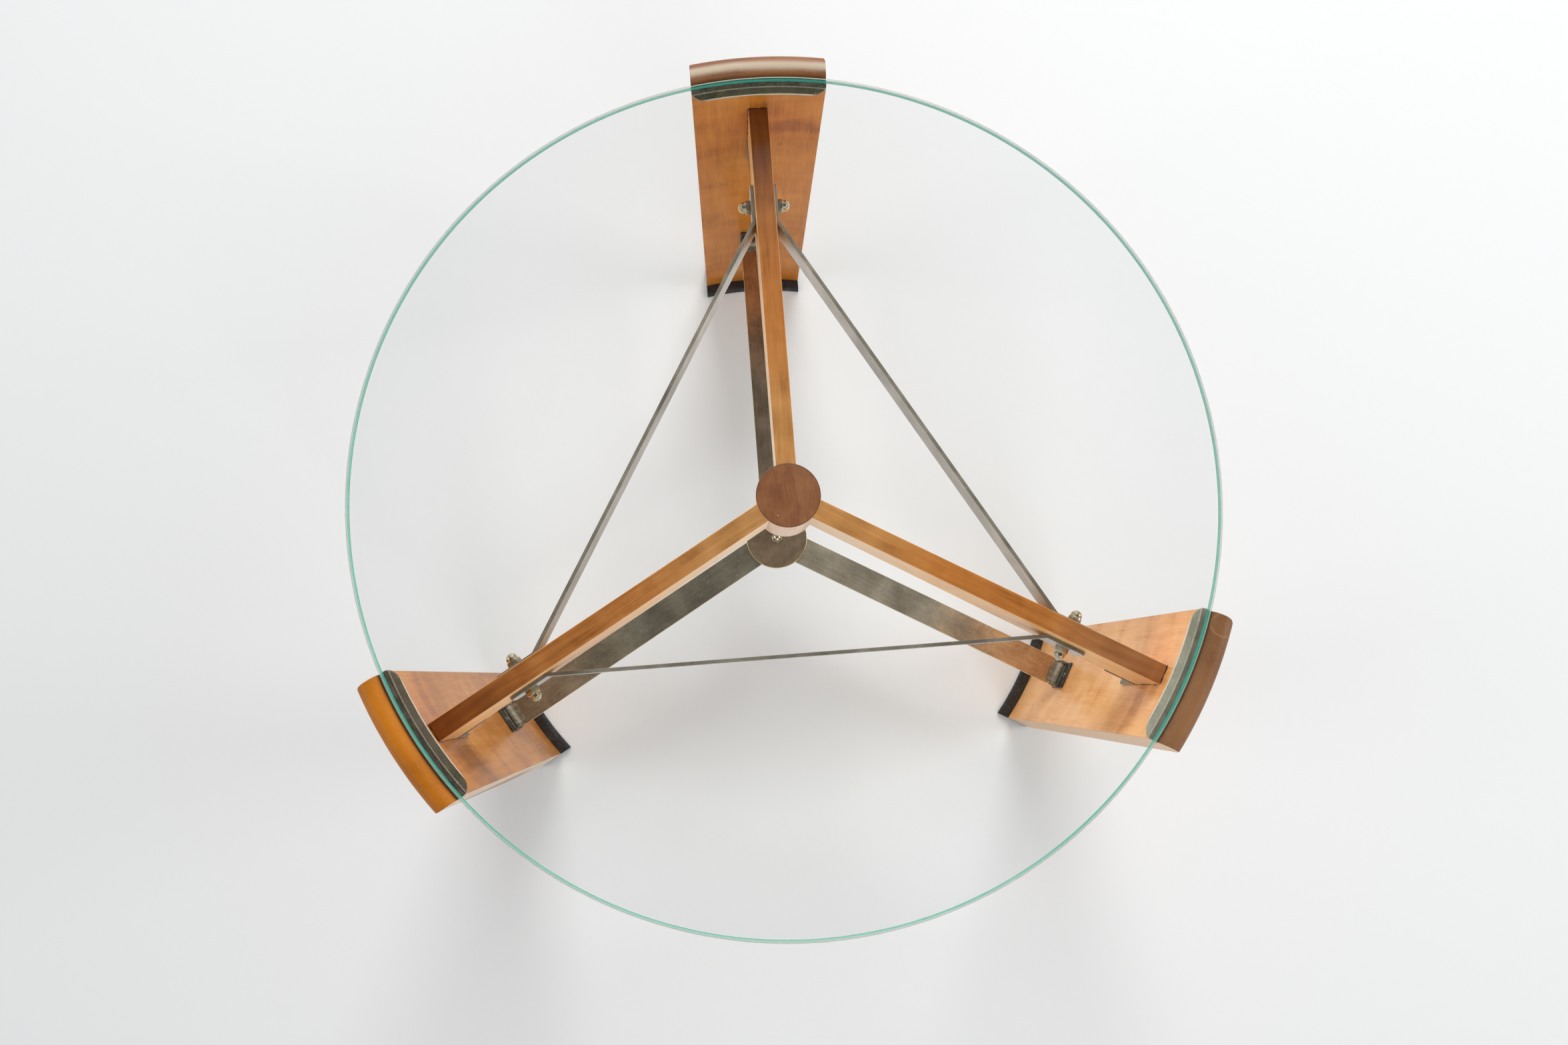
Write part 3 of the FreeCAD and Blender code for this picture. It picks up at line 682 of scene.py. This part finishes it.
# The struts
# A wooden beam runs from the hub to each leg, level on top and deeper towards the leg.
# It is glued up of two boards, so a dark glue line shows along its sides.

strut_depth_at_hub = 0.065
strut_level_end = 0.048
strut_let_in = 0.0005
strut_sanding = 0.0011
strut_shallow = strut_top - strut_depth_at_hub
glue_line = strut_top - 0.043


def strut_beam(name):
    """Rings across the beam's width, so that its two ends follow the hub and the leg."""
    rings = []
    knee = leg_inner - strut_level_end
    for x in across(strut_half, 8):
        near = sqrt(hub_radius ** 2 - x ** 2) - strut_let_in
        far = sqrt(leg_inner ** 2 - x ** 2) + strut_let_in
        ring = [(x, near, strut_top), (x, near, strut_shallow), (x, knee, strut_foot), (x, far, strut_foot)]
        ring += [(x, far, strut_top)]
        rings.append(ring)
    return skin(name, rings)


pale_gold = [(0.15, 128, 84, 38), (0.50, 186, 142, 86), (0.88, 210, 168, 112)]


def strut_wood(name, top_stops, sheen_side_stops, dark_end, shade):
    """Grain along the beam, darker towards the leg, with the glue line on its sides, which are painted paler
    as a sheen.
    """
    finish = Finish(name)
    spot, x, y, z = finish.place()
    fibres = finish.noise(finish.point(x, y * 0.03, z), 620, 3, 0.6)
    figure = finish.noise(finish.point(x, y * 0.10, z), 80, 3, 0.6, 0.5)
    curl = finish.noise(finish.point(x * 0.3, y, z * 0.3), 24, 3, 0.5, 0.8)
    mottle = finish.noise(spot, 12, 3, 0.6, 0.5)
    tone = swing(0.5, (fibres, 0.45), (figure, 0.6), (curl, 0.4), (mottle, 0.5))
    up = finish.facing(2).rise(0.3, 0.9)
    # The sides take their own paler colours, a painted sheen.
    finish.colour = finish.mix(up, finish.ramp(tone, sheen_side_stops), finish.ramp(tone, top_stops))
    near = 1 - swing(y, (mottle, 0.06)).rise(0.08, 0.24)
    finish.paint(up * near * 0.5, finish.ramp(tone, pale_gold))
    # Near the hub the sides are painted nearly white, more of the painted sheen.
    finish.paint((1 - up) * near * 0.6, (255, 230, 196))
    end = swing(y, (mottle, 0.05)).rise(shade[0], shade[1])
    finish.paint(up * end * shade[2], finish.ramp(tone, dark_end))
    # A painted highlight along the arrises where they turn upwards.
    arris = swing(abs(x), (figure, 0.0006)).rise(strut_half - 0.0011, strut_half - 0.0003)
    finish.paint(arris * finish.facing(2).rise(0.1, 0.7) * 0.5, (222, 150, 84))
    seam = (1 - abs(z - glue_line + (figure - 0.5) * 0.0012).rise(0.0002, 0.0007)) * (1 - up)
    finish.paint(seam * 0.6, (110, 62, 34))
    rough_edge = finish.noise(spot, 260, 4, 0.7)
    broken = finish.noise(spot, 90, 3, 0.6).rise(0.36, 0.52)
    crack = swing(y, (rough_edge, 0.004)).rise(leg_inner - 0.0024, leg_inner - 0.0006) * broken
    finish.paint(crack * 0.95, (24, 14, 10))
    return finish.solid(swing(0.30, (mottle, 0.14)), fibres * 0.6 + figure * 0.4, 0.00022)


gold_top = [
    (0.15, 104, 56, 14), (0.42, 158, 94, 34), (0.60, 174, 108, 44), (0.88, 196, 134, 70)]
red_top = [
    (0.15, 92, 46, 12), (0.42, 144, 86, 34), (0.60, 164, 106, 52), (0.88, 188, 130, 76)]
# The paler colours of the struts' sides are a painted sheen.
peach_sheen_side = [
    (0.15, 204, 136, 70), (0.42, 240, 180, 110), (0.60, 248, 194, 128), (0.88, 252, 214, 160)]
dark_brown = [(0.15, 68, 28, 1), (0.50, 112, 54, 3), (0.85, 138, 78, 14)]
umber_brown = [(0.15, 104, 62, 32), (0.50, 152, 98, 56), (0.85, 176, 122, 78)]
strut_materials = [
    strut_wood("strut wood a", gold_top, peach_sheen_side, dark_brown, (0.30, 0.50, 0.95)),
    strut_wood("strut wood b", gold_top, peach_sheen_side, umber_brown, (0.34, 0.46, 0.9)),
    strut_wood("strut wood c", red_top, peach_sheen_side, dark_brown, (0.34, 0.52, 0.95)),
]
for index, letter in LEGS:
    strut = at_leg(ease(strut_beam("upper_strut_" + letter + "_wood"), strut_sanding), index)
    fit(strut, strut_materials[index], "base", "strut_wood", "upper_strut_" + letter)


# The angles under the struts
# A short piece of 4 mm steel angle is screwed into the corner under the outer end of each strut.
# Its upper face is hidden, and its lower faces carry the same dark patina as the bars.

angle_low, angle_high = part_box("strut_angle_a")
angle_steel = 0.004
angle_filing = 0.0007


def carried_across(name, outline, left, right):
    """An outline of (y, z) carried along X."""
    return skin(name, [[(x, y, z) for y, z in outline] for x in (left, right)])


def steel_angle(name):
    """The L of the angle, carried across its width."""
    corner_in = 0.003
    outline = [(angle_low.y, angle_high.z), (angle_high.y, angle_high.z), (angle_high.y, angle_low.z)]
    outline += [(angle_high.y - angle_steel, angle_low.z)]
    outline += arc_points(
        angle_high.y - angle_steel - corner_in, angle_high.z - angle_steel - corner_in, corner_in, 0, 90, 4)
    outline += [(angle_low.y, angle_high.z - angle_steel)]
    return carried_across(name, outline, -angle_high.x, angle_high.x)


def angle_edges(finish, x, y, z):
    return abs(x).rise(angle_high.x - 0.0010, angle_high.x - 0.0002) * 0.4


angle_material = steel("angle steel", (96, 94, 88), (150, 148, 142), (196, 188, 170), angle_edges, 0.4)
for index, letter in LEGS:
    angle = at_leg(ease(steel_angle("strut_angle_" + letter + "_steel"), angle_filing, 2), index)
    fit(angle, angle_material, "base", "patina_steel", "strut_angle_" + letter)
    node = "angle_screw_strut_" + letter
    fit(screw_at(node, 40 * index), screw_material, "base", "screw_steel", node)


# The tie bars, their studs and dome nuts
# Three flat steel bars stand on edge between the struts. Each end is bent flat to a strut's side,
# and one stud through the strut clamps two bar ends with a plated dome nut on each side.

tie_low, tie_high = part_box("tie_bar_b")
tie_steel = 0.005
tie_bend_radius = 0.390
tie_tab = 0.056
tie_end_radius = tie_bend_radius + tie_tab
tie_bolt_inset = 0.027
tie_bolt_radius = tie_end_radius - tie_bolt_inset
tie_corner = 0.006
bend_round = 0.0065
tie_filing = 0.0005


def laid_across(piece, radius, height):
    """A piece made upright, laid along X at its radius and height."""
    piece.matrix_world = Matrix.Translation((0, radius, height)) @ Matrix.Rotation(pi / 2, 4, "Y")
    return piece


def tie_route():
    """The middle line of the bar from leg a's strut to leg b's, its bends rounded."""
    side = strut_half + tie_steel / 2
    turn = Matrix.Rotation(-LEG_STEP, 3, "Z")
    ends = [Vector((side, tie_end_radius, 0)), Vector((side, tie_bend_radius, 0))]
    ends += [turn @ Vector((-side, tie_bend_radius, 0)), turn @ Vector((-side, tie_end_radius, 0))]
    route = [ends[0], ends[0].lerp(ends[1], tie_corner / (ends[1] - ends[0]).length)]
    for before, bend, after in zip(ends, ends[1:], ends[2:]):
        entering = (bend - before).normalized()
        leaving = (after - bend).normalized()
        reach = bend_round * tan(entering.angle(leaving) / 2)
        start = bend - entering * reach
        end = bend + leaving * reach
        for step in range(7):
            share = step / 6
            first = start.lerp(bend, share)
            second = bend.lerp(end, share)
            route.append(first.lerp(second, share))
    route.append(ends[3].lerp(ends[2], tie_corner / (ends[2] - ends[3]).length))
    route.append(ends[3])
    return route


def tie_bar(name, index):
    """The bar on edge along its route, its four end corners cut off. It is made where it stands."""
    route = tie_route()
    turn = Matrix.Rotation(-LEG_STEP * index, 3, "Z")
    rings = []
    for place, point in enumerate(route):
        before = route[max(place - 1, 0)]
        after = route[min(place + 1, len(route) - 1)]
        along = (after - before).normalized()
        side = Vector((along.y, -along.x, 0)) * tie_steel / 2
        cut = tie_corner if place in (0, len(route) - 1) else 0.0
        low = tie_low.z + cut
        high = tie_high.z - cut
        ring = []
        for sign, height in ((-1, low), (1, low), (1, high), (-1, high)):
            corner = turn @ (point + side * sign)
            ring.append((corner.x, corner.y, height))
        rings.append(ring)
    return skin(name, rings)


def tie_finish(name, heat):
    """Bright drawn steel, darker and rougher on its upper and lower edges, with brown stain by the bends."""
    finish = Finish(name)
    spot, x, y, z = finish.place()
    clouds = finish.noise(spot, 22, 5, 0.6, 0.4)
    streaks = finish.noise(finish.point(x * 0.5, y * 0.5, z * 9.0), 130, 4, 0.65)
    grit = finish.noise(spot, 600, 3, 0.7)
    tone = swing(0.5, (clouds, 1.2), (streaks, 0.6), (grit, 0.5))
    face = finish.mix(tone.rise(0.05, 0.95), (170, 166, 160), (222, 219, 214))
    # A darker colour for the upper and lower edges.
    scale = finish.mix(tone.rise(0.0, 1.0), (92, 86, 74), (144, 138, 124))
    up = abs(finish.facing(2)).rise(0.35, 0.85)
    finish.colour = finish.mix(up, face, scale)
    radius = swing(from_middle(x, y), (clouds, 0.05))
    stained = radius.rise(0.345, 0.395) * (1 - radius.rise(0.405, 0.43)) * (1 - up) * heat
    finish.paint(stained, (150, 106, 80))
    arris = (1 - abs(z - tie_high.z).rise(0.0002, 0.0009)) * (1 - up) * 0.5 * grit
    finish.paint(arris, (220, 214, 200))
    rough = swing(swing(0.36, (clouds, 0.2)) + up * 0.12, (grit, 0.1))
    return finish.solid(rough, streaks * 0.4 + grit * 0.5, 0.0001, {"Metallic": 0.92 - up * 0.4})


nut_flats = 0.017
nut_hex_height = 0.008
nut_dome_radius = 0.00775
nut_neck = 0.002
nut_seam = 0.0004
nut_foot_cut = 0.0007
nut_foot_chamfer = 0.0006
nut_top_cut = 0.0015
nut_top_chamfer = 0.0014


def hexagon_ring(height, cut, count=96):
    """A ring on the nut's hexagon, its corners cut back by the chamfer."""
    ring = []
    for side in range(count):
        turn = 2 * pi * side / count
        sector = (turn + pi / 6) % (pi / 3) - pi / 6
        radius = min(nut_flats / 2 / cos(sector), nut_flats / sqrt(3) - cut)
        ring.append((radius * cos(turn), radius * sin(turn), height))
    return ring


def dome_nut(name):
    """A hexagon with chamfered corners, a short neck and a dome, standing on the origin along +Z."""
    rings = [hexagon_ring(0.0, nut_foot_cut), hexagon_ring(nut_foot_chamfer, 0.0)]
    rings += [hexagon_ring(nut_hex_height - nut_top_chamfer, 0.0), hexagon_ring(nut_hex_height, nut_top_cut)]
    neck_top = nut_hex_height + nut_neck
    rings += [round_ring(nut_dome_radius, nut_hex_height + nut_seam), round_ring(nut_dome_radius, neck_top)]
    for step in range(1, 13):
        turn = step / 12.5 * pi / 2
        height = neck_top + nut_dome_radius * sin(turn)
        rings.append(round_ring(nut_dome_radius * cos(turn), height))
    return crease(skin(name, rings), 25)


def nut_plating():
    """Nickel worn through to brass, darker towards the foot of the hexagon and in random patches."""
    finish = Finish("worn nickel plate")
    spot, _, _, z = finish.place()
    wear = finish.noise(spot, 170, 4, 0.6)
    grime = finish.noise(spot, 420, 3, 0.7)
    finish.colour = finish.mix(wear.rise(0.42, 0.66), (214, 206, 188), (200, 168, 100))
    low = 1 - z.rise(0.001, 0.0095)
    foot_darkening = (low * 0.6 + (grime - 0.5) * 0.4).larger(0.0) * 0.8
    finish.paint(foot_darkening, (90, 78, 58))
    return finish.solid(swing(0.20 + low * 0.16, (grime, 0.1)), grime, 0.00005, {"Metallic": 1.0})


tie_materials = [tie_finish("tie bar steel", 0.25), tie_finish("stained tie bar steel", 0.8)]
nut_material = nut_plating()
tie_axis = (tie_low.z + tie_high.z) / 2
stud_radius = 0.005
thread_in_nut = 0.0075
stud_half = strut_half + tie_steel + thread_in_nut
stud_profile = [(stud_radius, -stud_half), (stud_radius, stud_half)]
for index, letter in LEGS:
    bar = ease(tie_bar("tie_bar_" + letter + "_steel", index), tie_filing, 2)
    fit(bar, tie_materials[1 if letter == "a" else 0], "base", "patina_steel", "tie_bar_" + letter)
    for side, sign in (("left", -1), ("right", 1)):
        nut = dome_nut("tie_nut_" + side + "_" + letter + "_dome")
        seat = Vector((sign * (strut_half + tie_steel), tie_bolt_radius, tie_axis))
        twist = Matrix.Rotation(radians(23 * index + 11 * sign), 4, "Z")
        nut.matrix_world = Matrix.Translation(seat) @ Matrix.Rotation(sign * pi / 2, 4, "Y") @ twist
        fit(at_leg(nut, index), nut_material, "base", "nickel", "tie_nut_" + side + "_" + letter)
    stud = turned_piece("tie_stud_" + letter + "_rod", stud_profile, 32)
    stud = at_leg(laid_across(stud, tie_bolt_radius, tie_axis), index)
    fit(stud, screw_material, "base", "screw_steel", "tie_stud_" + letter)


# The lower bars and their hinges
# A flat steel bar runs from the middle to each leg, low under the strut. Its end is narrowed and rolled round
# a pin, the lip folded back on the bar. The pin sits in the ears of a leaf screwed to the leg.

bar_low, bar_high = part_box("lower_bar_a")
bar_half = bar_high.x
bar_steel = 0.005
bar_underside = bar_low.z
bar_top = bar_underside + bar_steel
knuckle_radius = 0.007
knuckle_half = 0.018
pin_radius = 0.003
pin_stand_out = 0.0015
knuckle_axis = bar_high.y - knuckle_radius
knuckle_height = bar_underside + knuckle_radius
eye_play = 0.0002
eye_end = 196
bar_gap = 0.0003
ear_room = knuckle_radius + 0.001
lip_length = 0.0085
lip_steel = 0.0024
lip_overlap = 0.0012
bar_filing = 0.0006
eye_filing = 0.0004
ear_filing = 0.0005


def carried_up(name, outline, low, high):
    """An outline of (x, y) carried upwards."""
    return skin(name, [[(x, y, height) for x, y in outline] for height in (low, high)])


def bar_plate(name):
    """The flat of the bar, pointed at the middle and narrowed beside the eye."""
    half_gap = bar_gap / sin(LEG_STEP / 2)
    rise = bar_half / tan(LEG_STEP / 2)
    shoulder = knuckle_axis - ear_room
    outline = [(0.0, half_gap), (bar_half, half_gap + rise), (bar_half, shoulder), (knuckle_half, shoulder)]
    outline += [(knuckle_half, knuckle_axis), (-knuckle_half, knuckle_axis)]
    outline += [(-knuckle_half, shoulder), (-bar_half, shoulder), (-bar_half, half_gap + rise)]
    return carried_up(name, outline, bar_underside, bar_top)


def rolled_eye(name):
    """The end of the bar rolled up and over the pin."""
    outer = arc_points(knuckle_axis, knuckle_height, knuckle_radius, -90, eye_end, 40)
    inner = arc_points(knuckle_axis, knuckle_height, pin_radius + eye_play, -90, eye_end, 40)
    loop = outer + inner[::-1]
    return carried_across(name, loop, -knuckle_half, knuckle_half)


def folded_lip(name):
    """The end of the rolled strip, laid flat on the bar with its two corners cut off."""
    near = knuckle_axis - knuckle_radius + lip_overlap
    far = near - lip_length
    cut = 0.0035
    outline = [(-knuckle_half, near), (-knuckle_half, far + cut), (-knuckle_half + cut, far)]
    outline += [(knuckle_half - cut, far), (knuckle_half, far + cut), (knuckle_half, near)]
    return carried_up(name, outline, bar_top, bar_top + lip_steel)


def bar_finish(name, dark, light, brown_dark, brown):
    """Waxed patina that turns browner towards the leg, with fine light specks and bright long edges."""
    finish = Finish(name)
    spot, x, y, z = finish.place()
    clouds = finish.noise(spot, 15, 5, 0.62, 0.6)
    drawn = finish.noise(finish.point(x * 3.0, y * 0.25, z), 90, 4, 0.6)
    grit = finish.noise(spot, 620, 3, 0.75)
    specks = finish.noise(spot, 330, 2, 0.5).rise(0.70, 0.75)
    tone = swing(0.5, (clouds, 1.3), (drawn, 0.5), (grit, 0.9))
    share = tone.rise(0.0, 1.0)
    finish.colour = finish.mix(share, dark, light)
    warm = swing(y, (clouds, 0.16)).rise(0.27, 0.47)
    finish.paint(warm * 0.85, finish.mix(share, brown_dark, brown))
    rub = finish.noise(spot, 80, 4, 0.7)
    worn = abs(x).rise(bar_half - 0.0009, bar_half - 0.0001) * (0.35 + rub * 0.9)
    finish.paint((worn + specks * 0.45).smaller(1.0), (220, 208, 172))
    rough = swing(0.42, (clouds, 0.3), (grit, 0.15))
    return finish.solid(rough, grit * 0.6 + clouds * 0.4, 0.00012, {"Metallic": 0.55})


def knuckle_steel():
    """Scraped steel, darker at the eye's ends and on the folded lip, and nearly black on the flat leaf."""
    finish = Finish("knuckle steel")
    spot, x, y, _ = finish.place()
    clouds = finish.noise(spot, 90, 5, 0.65)
    grit = finish.noise(spot, 700, 3, 0.7)
    tone = swing(0.5, (clouds, 1.8), (grit, 0.7))
    finish.colour = finish.mix(tone.rise(0.0, 1.0), (118, 112, 94), (194, 186, 164))
    ends = abs(x).rise(knuckle_half - 0.003, knuckle_half)
    finish.paint(ends * 0.4, (50, 42, 34))
    lip = 1 - y.rise(knuckle_axis - knuckle_radius - 0.001, knuckle_axis - knuckle_radius + 0.001)
    finish.paint(lip * 0.35, (58, 54, 44))
    leaf = y.rise(leaf_high.y - leaf_steel - 0.0008, leaf_high.y - leaf_steel - 0.0002)
    finish.paint(leaf * 0.8, (40, 34, 28))
    return finish.solid(swing(0.34, (grit, 0.2)), grit * 0.4 + clouds, 0.0002, {"Metallic": 0.6})


leaf_low, leaf_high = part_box("hinge_leaf_a")
leaf_steel = 0.003
ear_width = 0.0045


def hinge_leaf(name):
    """The flat leaf on the leg's face."""
    low, high = leaf_low.z, leaf_high.z
    corners = [(-bar_half, low), (bar_half, low), (bar_half, high), (-bar_half, high)]
    return skin(name, [[(x, y, z) for x, z in corners] for y in (leaf_high.y - leaf_steel, leaf_high.y)])


def hinge_ear(name, side):
    """One ear of the leaf, a plate with a round nose that holds the end of the pin."""
    outline = arc_points(knuckle_axis, knuckle_height, knuckle_radius, 90, 270, 14)
    outline += [(leaf_high.y - leaf_steel, knuckle_height - knuckle_radius)]
    outline += [(leaf_high.y - leaf_steel, knuckle_height + knuckle_radius)]
    return carried_across(name, outline, *sorted((side * bar_half, side * (bar_half - ear_width))))


def hinge_pin(name):
    """The pin, with a shallow dome at each end."""
    reach = bar_half + pin_stand_out
    dome = [(0.0012, 0.0), (0.0024, 0.0003), (pin_radius, 0.0010)]
    profile = [(radius, -reach + inset) for radius, inset in dome]
    profile += [(radius, reach - inset) for radius, inset in reversed(dome)]
    return laid_across(turned_piece(name, profile, 28), knuckle_axis, knuckle_height)


bar_materials = [
    bar_finish("lower bar steel a", (96, 84, 68), (146, 130, 112), (134, 84, 40), (208, 142, 84)),
    bar_finish("lower bar steel b", (122, 114, 98), (174, 166, 148), (162, 114, 66), (234, 180, 124)),
    bar_finish("lower bar steel c", (92, 88, 74), (136, 132, 116), (110, 90, 66), (168, 148, 120)),
]
knuckle_material = knuckle_steel()
for index, letter in LEGS:
    plate = ease(bar_plate("bar plate"), bar_filing, 2)
    eye = ease(rolled_eye("bar eye"), eye_filing, 2)
    lip = ease(folded_lip("bar lip"), eye_filing, 2)
    bar = joined("lower_bar_" + letter + "_steel", [plate, eye, lip])
    fit(at_leg(bar, index), bar_materials[index], "base", "patina_steel", "lower_bar_" + letter)
    bar.data.materials.append(knuckle_material)
    for polygon in bar.data.polygons:
        on_eye = polygon.center.y > knuckle_axis - knuckle_radius + 0.0002
        on_lip = polygon.center.z > bar_top + 0.0001
        polygon.material_index = 1 if on_eye or on_lip else 0
    leaf_parts = [ease(hinge_leaf("leaf"), bar_filing, 2)]
    leaf_parts += [ease(hinge_ear("ear", side), ear_filing, 2) for side in (-1, 1)]
    leaf = at_leg(joined("hinge_leaf_" + letter + "_steel", leaf_parts), index)
    fit(leaf, knuckle_material, "base", "patina_steel", "hinge_leaf_" + letter)
    pin = at_leg(hinge_pin("hinge_pin_" + letter + "_rod"), index)
    fit(pin, screw_material, "base", "screw_steel", "hinge_pin_" + letter)
    for place in ("hinge_screw_lower", "hinge_screw_upper"):
        node = place + "_" + letter
        fit(screw_at(node, 55 * index + 12), screw_material, "base", "screw_steel", node)


# The centre discs, their bolt and dome nut
# The inner ends of the three bars are clamped between a larger disc on top and a smaller one below.
# One bolt comes up through all of them and ends in a dome nut.

disc_low, disc_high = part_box("centre_disc_upper")
under_low, under_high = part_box("centre_disc_lower")
bolt_low, bolt_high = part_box("centre_bolt")
bolt_chamfer = 0.0012
shank_step = 0.0001
disc_round = 0.0010


def disc_finish(name, radius):
    """The same patina as the bars, with the turned rim brassy bright."""
    def rim(finish, x, y, z):
        return from_middle(x, y).rise(radius - 0.0012, radius - 0.0003)
    return steel(name, (106, 90, 70), (158, 140, 116), (226, 214, 160), rim, 0.38, metal=0.6)


def turned_disc(name, low, high, edge, steps, count):
    """A turned disc that fills its box, with rounded arrises."""
    profile = arc_points(high.x - edge, low.z + edge, edge, -90, 0, steps)
    profile += arc_points(high.x - edge, high.z - edge, edge, 0, 90, steps)
    return turned_piece(name, profile, count)


def bolt_head(name):
    """The hexagon head under the lower disc, its lower corners chamfered, with the shank above."""
    hexagon = ((bolt_low.z, bolt_chamfer), (bolt_low.z + bolt_chamfer, 0.0), (under_low.z, 0.0))
    rings = [hexagon_ring(height, cut) for height, cut in hexagon]
    rings += [round_ring(stud_radius, under_low.z + shank_step), round_ring(stud_radius, bolt_high.z)]
    return crease(skin(name, rings), 25)


for place, low, high in (("upper", disc_low, disc_high), ("lower", under_low, under_high)):
    disc = turned_disc("centre_disc_" + place + "_steel", low, high, disc_round, 4, 128)
    disc_material = disc_finish(place + " disc steel", high.x)
    fit(disc, disc_material, "base", "patina_steel", "centre_disc_" + place)
fit(bolt_head("centre_bolt_head"), screw_material, "base", "screw_steel", "centre_bolt")
centre_nut = dome_nut("centre_nut_dome")
centre_nut.matrix_world = Matrix.Translation((0, 0, disc_high.z)) @ Matrix.Rotation(radians(12), 4, "Z")
fit(centre_nut, nut_material, "base", "nickel", "centre_nut")


# The glass top
# One round of clear plate glass with rounded arrises. It lies loose on the three brackets, inside the crowns
# of the legs. Its faces are clear; its ground edge is green, with painted light on its arrises.

glass_round = 0.003


def clear_glass():
    """Clear to the eye through its faces. Lamps shine through it, as through real plate glass."""
    finish = Finish("clear plate glass")
    inputs = {"Base Color": (0.985, 1.0, 0.995, 1.0), "Roughness": 0.0, "Transmission Weight": 1.0}
    inputs["IOR"] = 1.5
    glass = finish.add("ShaderNodeBsdfPrincipled", None, inputs)
    open_way = finish.add("ShaderNodeBsdfTransparent", None, {"Color": (0.995, 1.0, 1.0, 1.0)})
    lamp = finish.add("ShaderNodeLightPath", output="Is Shadow Ray")
    return finish.surface(finish.add("ShaderNodeMixShader", None, {0: lamp, 1: glass, 2: open_way}))


def glass_edge():
    """A painted highlight in cream on the upper arris, grey green below it and a painted reflection in clear
    turquoise along the lower arris.
    """
    finish = Finish("ground glass edge")
    height = (finish.place()[3] - glass_low.z) / (glass_high.z - glass_low.z)
    # The cream at the top is a painted highlight, and the turquoise at the foot is a painted reflection from
    # inside the glass.
    colour = finish.ramp(height, [
        (0.0, 62, 172, 150), (0.20, 58, 178, 158), (0.32, 108, 152, 142),
        (0.955, 124, 150, 142), (0.985, 202, 198, 174)])
    alpha = 0.36 + (1 - height.rise(0.06, 0.28)) * 0.40 + height.rise(0.965, 0.99) * 0.18
    inputs = {"Base Color": colour, "Roughness": 0.25, "Alpha": alpha}
    return finish.surface(finish.add("ShaderNodeBsdfPrincipled", None, inputs))


glass = turned_disc("glass_top_plate", glass_low, glass_high, glass_round, 8, 360)
fit(glass, clear_glass(), "top", "glass", "glass_top")
glass.data.materials.append(glass_edge())
for polygon in glass.data.polygons:
    polygon.material_index = 0 if abs(polygon.normal.z) > 0.999 else 1


# The studio
# A plain pale floor. A wide soft lamp stands behind and above the table, with a weaker one in front and on
# each side, and the pale sky of the room is dark overhead.


def studio_floor():
    finish = Finish("pale studio floor")
    inputs = {"Base Color": seen(243, 244, 244), "Roughness": 0.9, "Specular IOR Level": 0.1}
    return finish.surface(finish.add("ShaderNodeBsdfPrincipled", None, inputs))


floor_half = 9.0
floor_corners = ((-1, -1), (1, -1), (1, 1), (-1, 1))
floor = carried_up("studio_floor", [(x * floor_half, y * floor_half) for x, y in floor_corners], -0.02, 0.0)
floor.data.materials.append(studio_floor())
floor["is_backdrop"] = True


def soft_lamp(name, place, aim, size, power):
    light = bpy.data.lights.new(name, "AREA")
    light.shape = "RECTANGLE"
    light.size, light.size_y = size
    light.energy = power
    lamp = bpy.data.objects.new(name, light)
    lamp.location = place
    lamp.rotation_euler = (Vector(place) - Vector(aim)).to_track_quat("Z", "Y").to_euler()
    lamp.visible_transmission = False
    bpy.context.scene.collection.objects.link(lamp)


soft_lamp("back lamp", (1.0, 7.2, 5.3), (0, 0.2, 0.6), (4.2, 6.4), 505.0)
soft_lamp("front lamp", (1.5, -5.4, 4.6), (0, 0, 0.4), (3.0, 2.0), 102.0)
soft_lamp("right lamp", (6.5, 0.0, 4.2), (0, 0, 0.4), (3.0, 3.0), 150.0)
soft_lamp("left lamp", (-6.5, 0.0, 4.2), (0, 0, 0.4), (3.0, 3.0), 100.0)


def pale_sky():
    """Pale all round the table, and dark overhead."""
    sky = Finish("even pale sky", bpy.data.worlds, "ShaderNodeOutputWorld")
    up = sky.add("ShaderNodeSeparateXYZ", None, {0: sky.add("ShaderNodeTexCoord", output="Generated")}, 2)
    stops = ((0.68, (0.48, 0.48, 0.49, 1.0)), (0.85, (0.03, 0.03, 0.03, 1.0)))
    colour = sky.add("ShaderNodeValToRGB", {"stops": stops}, {0: up})
    return sky.surface(sky.add("ShaderNodeBackground", None, {"Color": colour}))


bpy.context.scene.world = pale_sky()

# The photograph was taken from nearly overhead, a little left of the middle and in front of it.
camera_data = bpy.data.cameras.new("overhead camera")
camera_data.sensor_width = 36.0
camera_data.lens = 25.352
camera_data.shift_x = 0.0005
camera_data.clip_end = 60.0
camera = bpy.data.objects.new("overhead camera", camera_data)
camera.location = (-0.08209, -0.23178, 2.11071)
camera.rotation_euler = (radians(7.995), radians(-2.2889), radians(-4.4133))
bpy.context.scene.collection.objects.link(camera)
bpy.context.scene.camera = camera
bpy.context.scene.view_settings.view_transform = "Standard"

low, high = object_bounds()
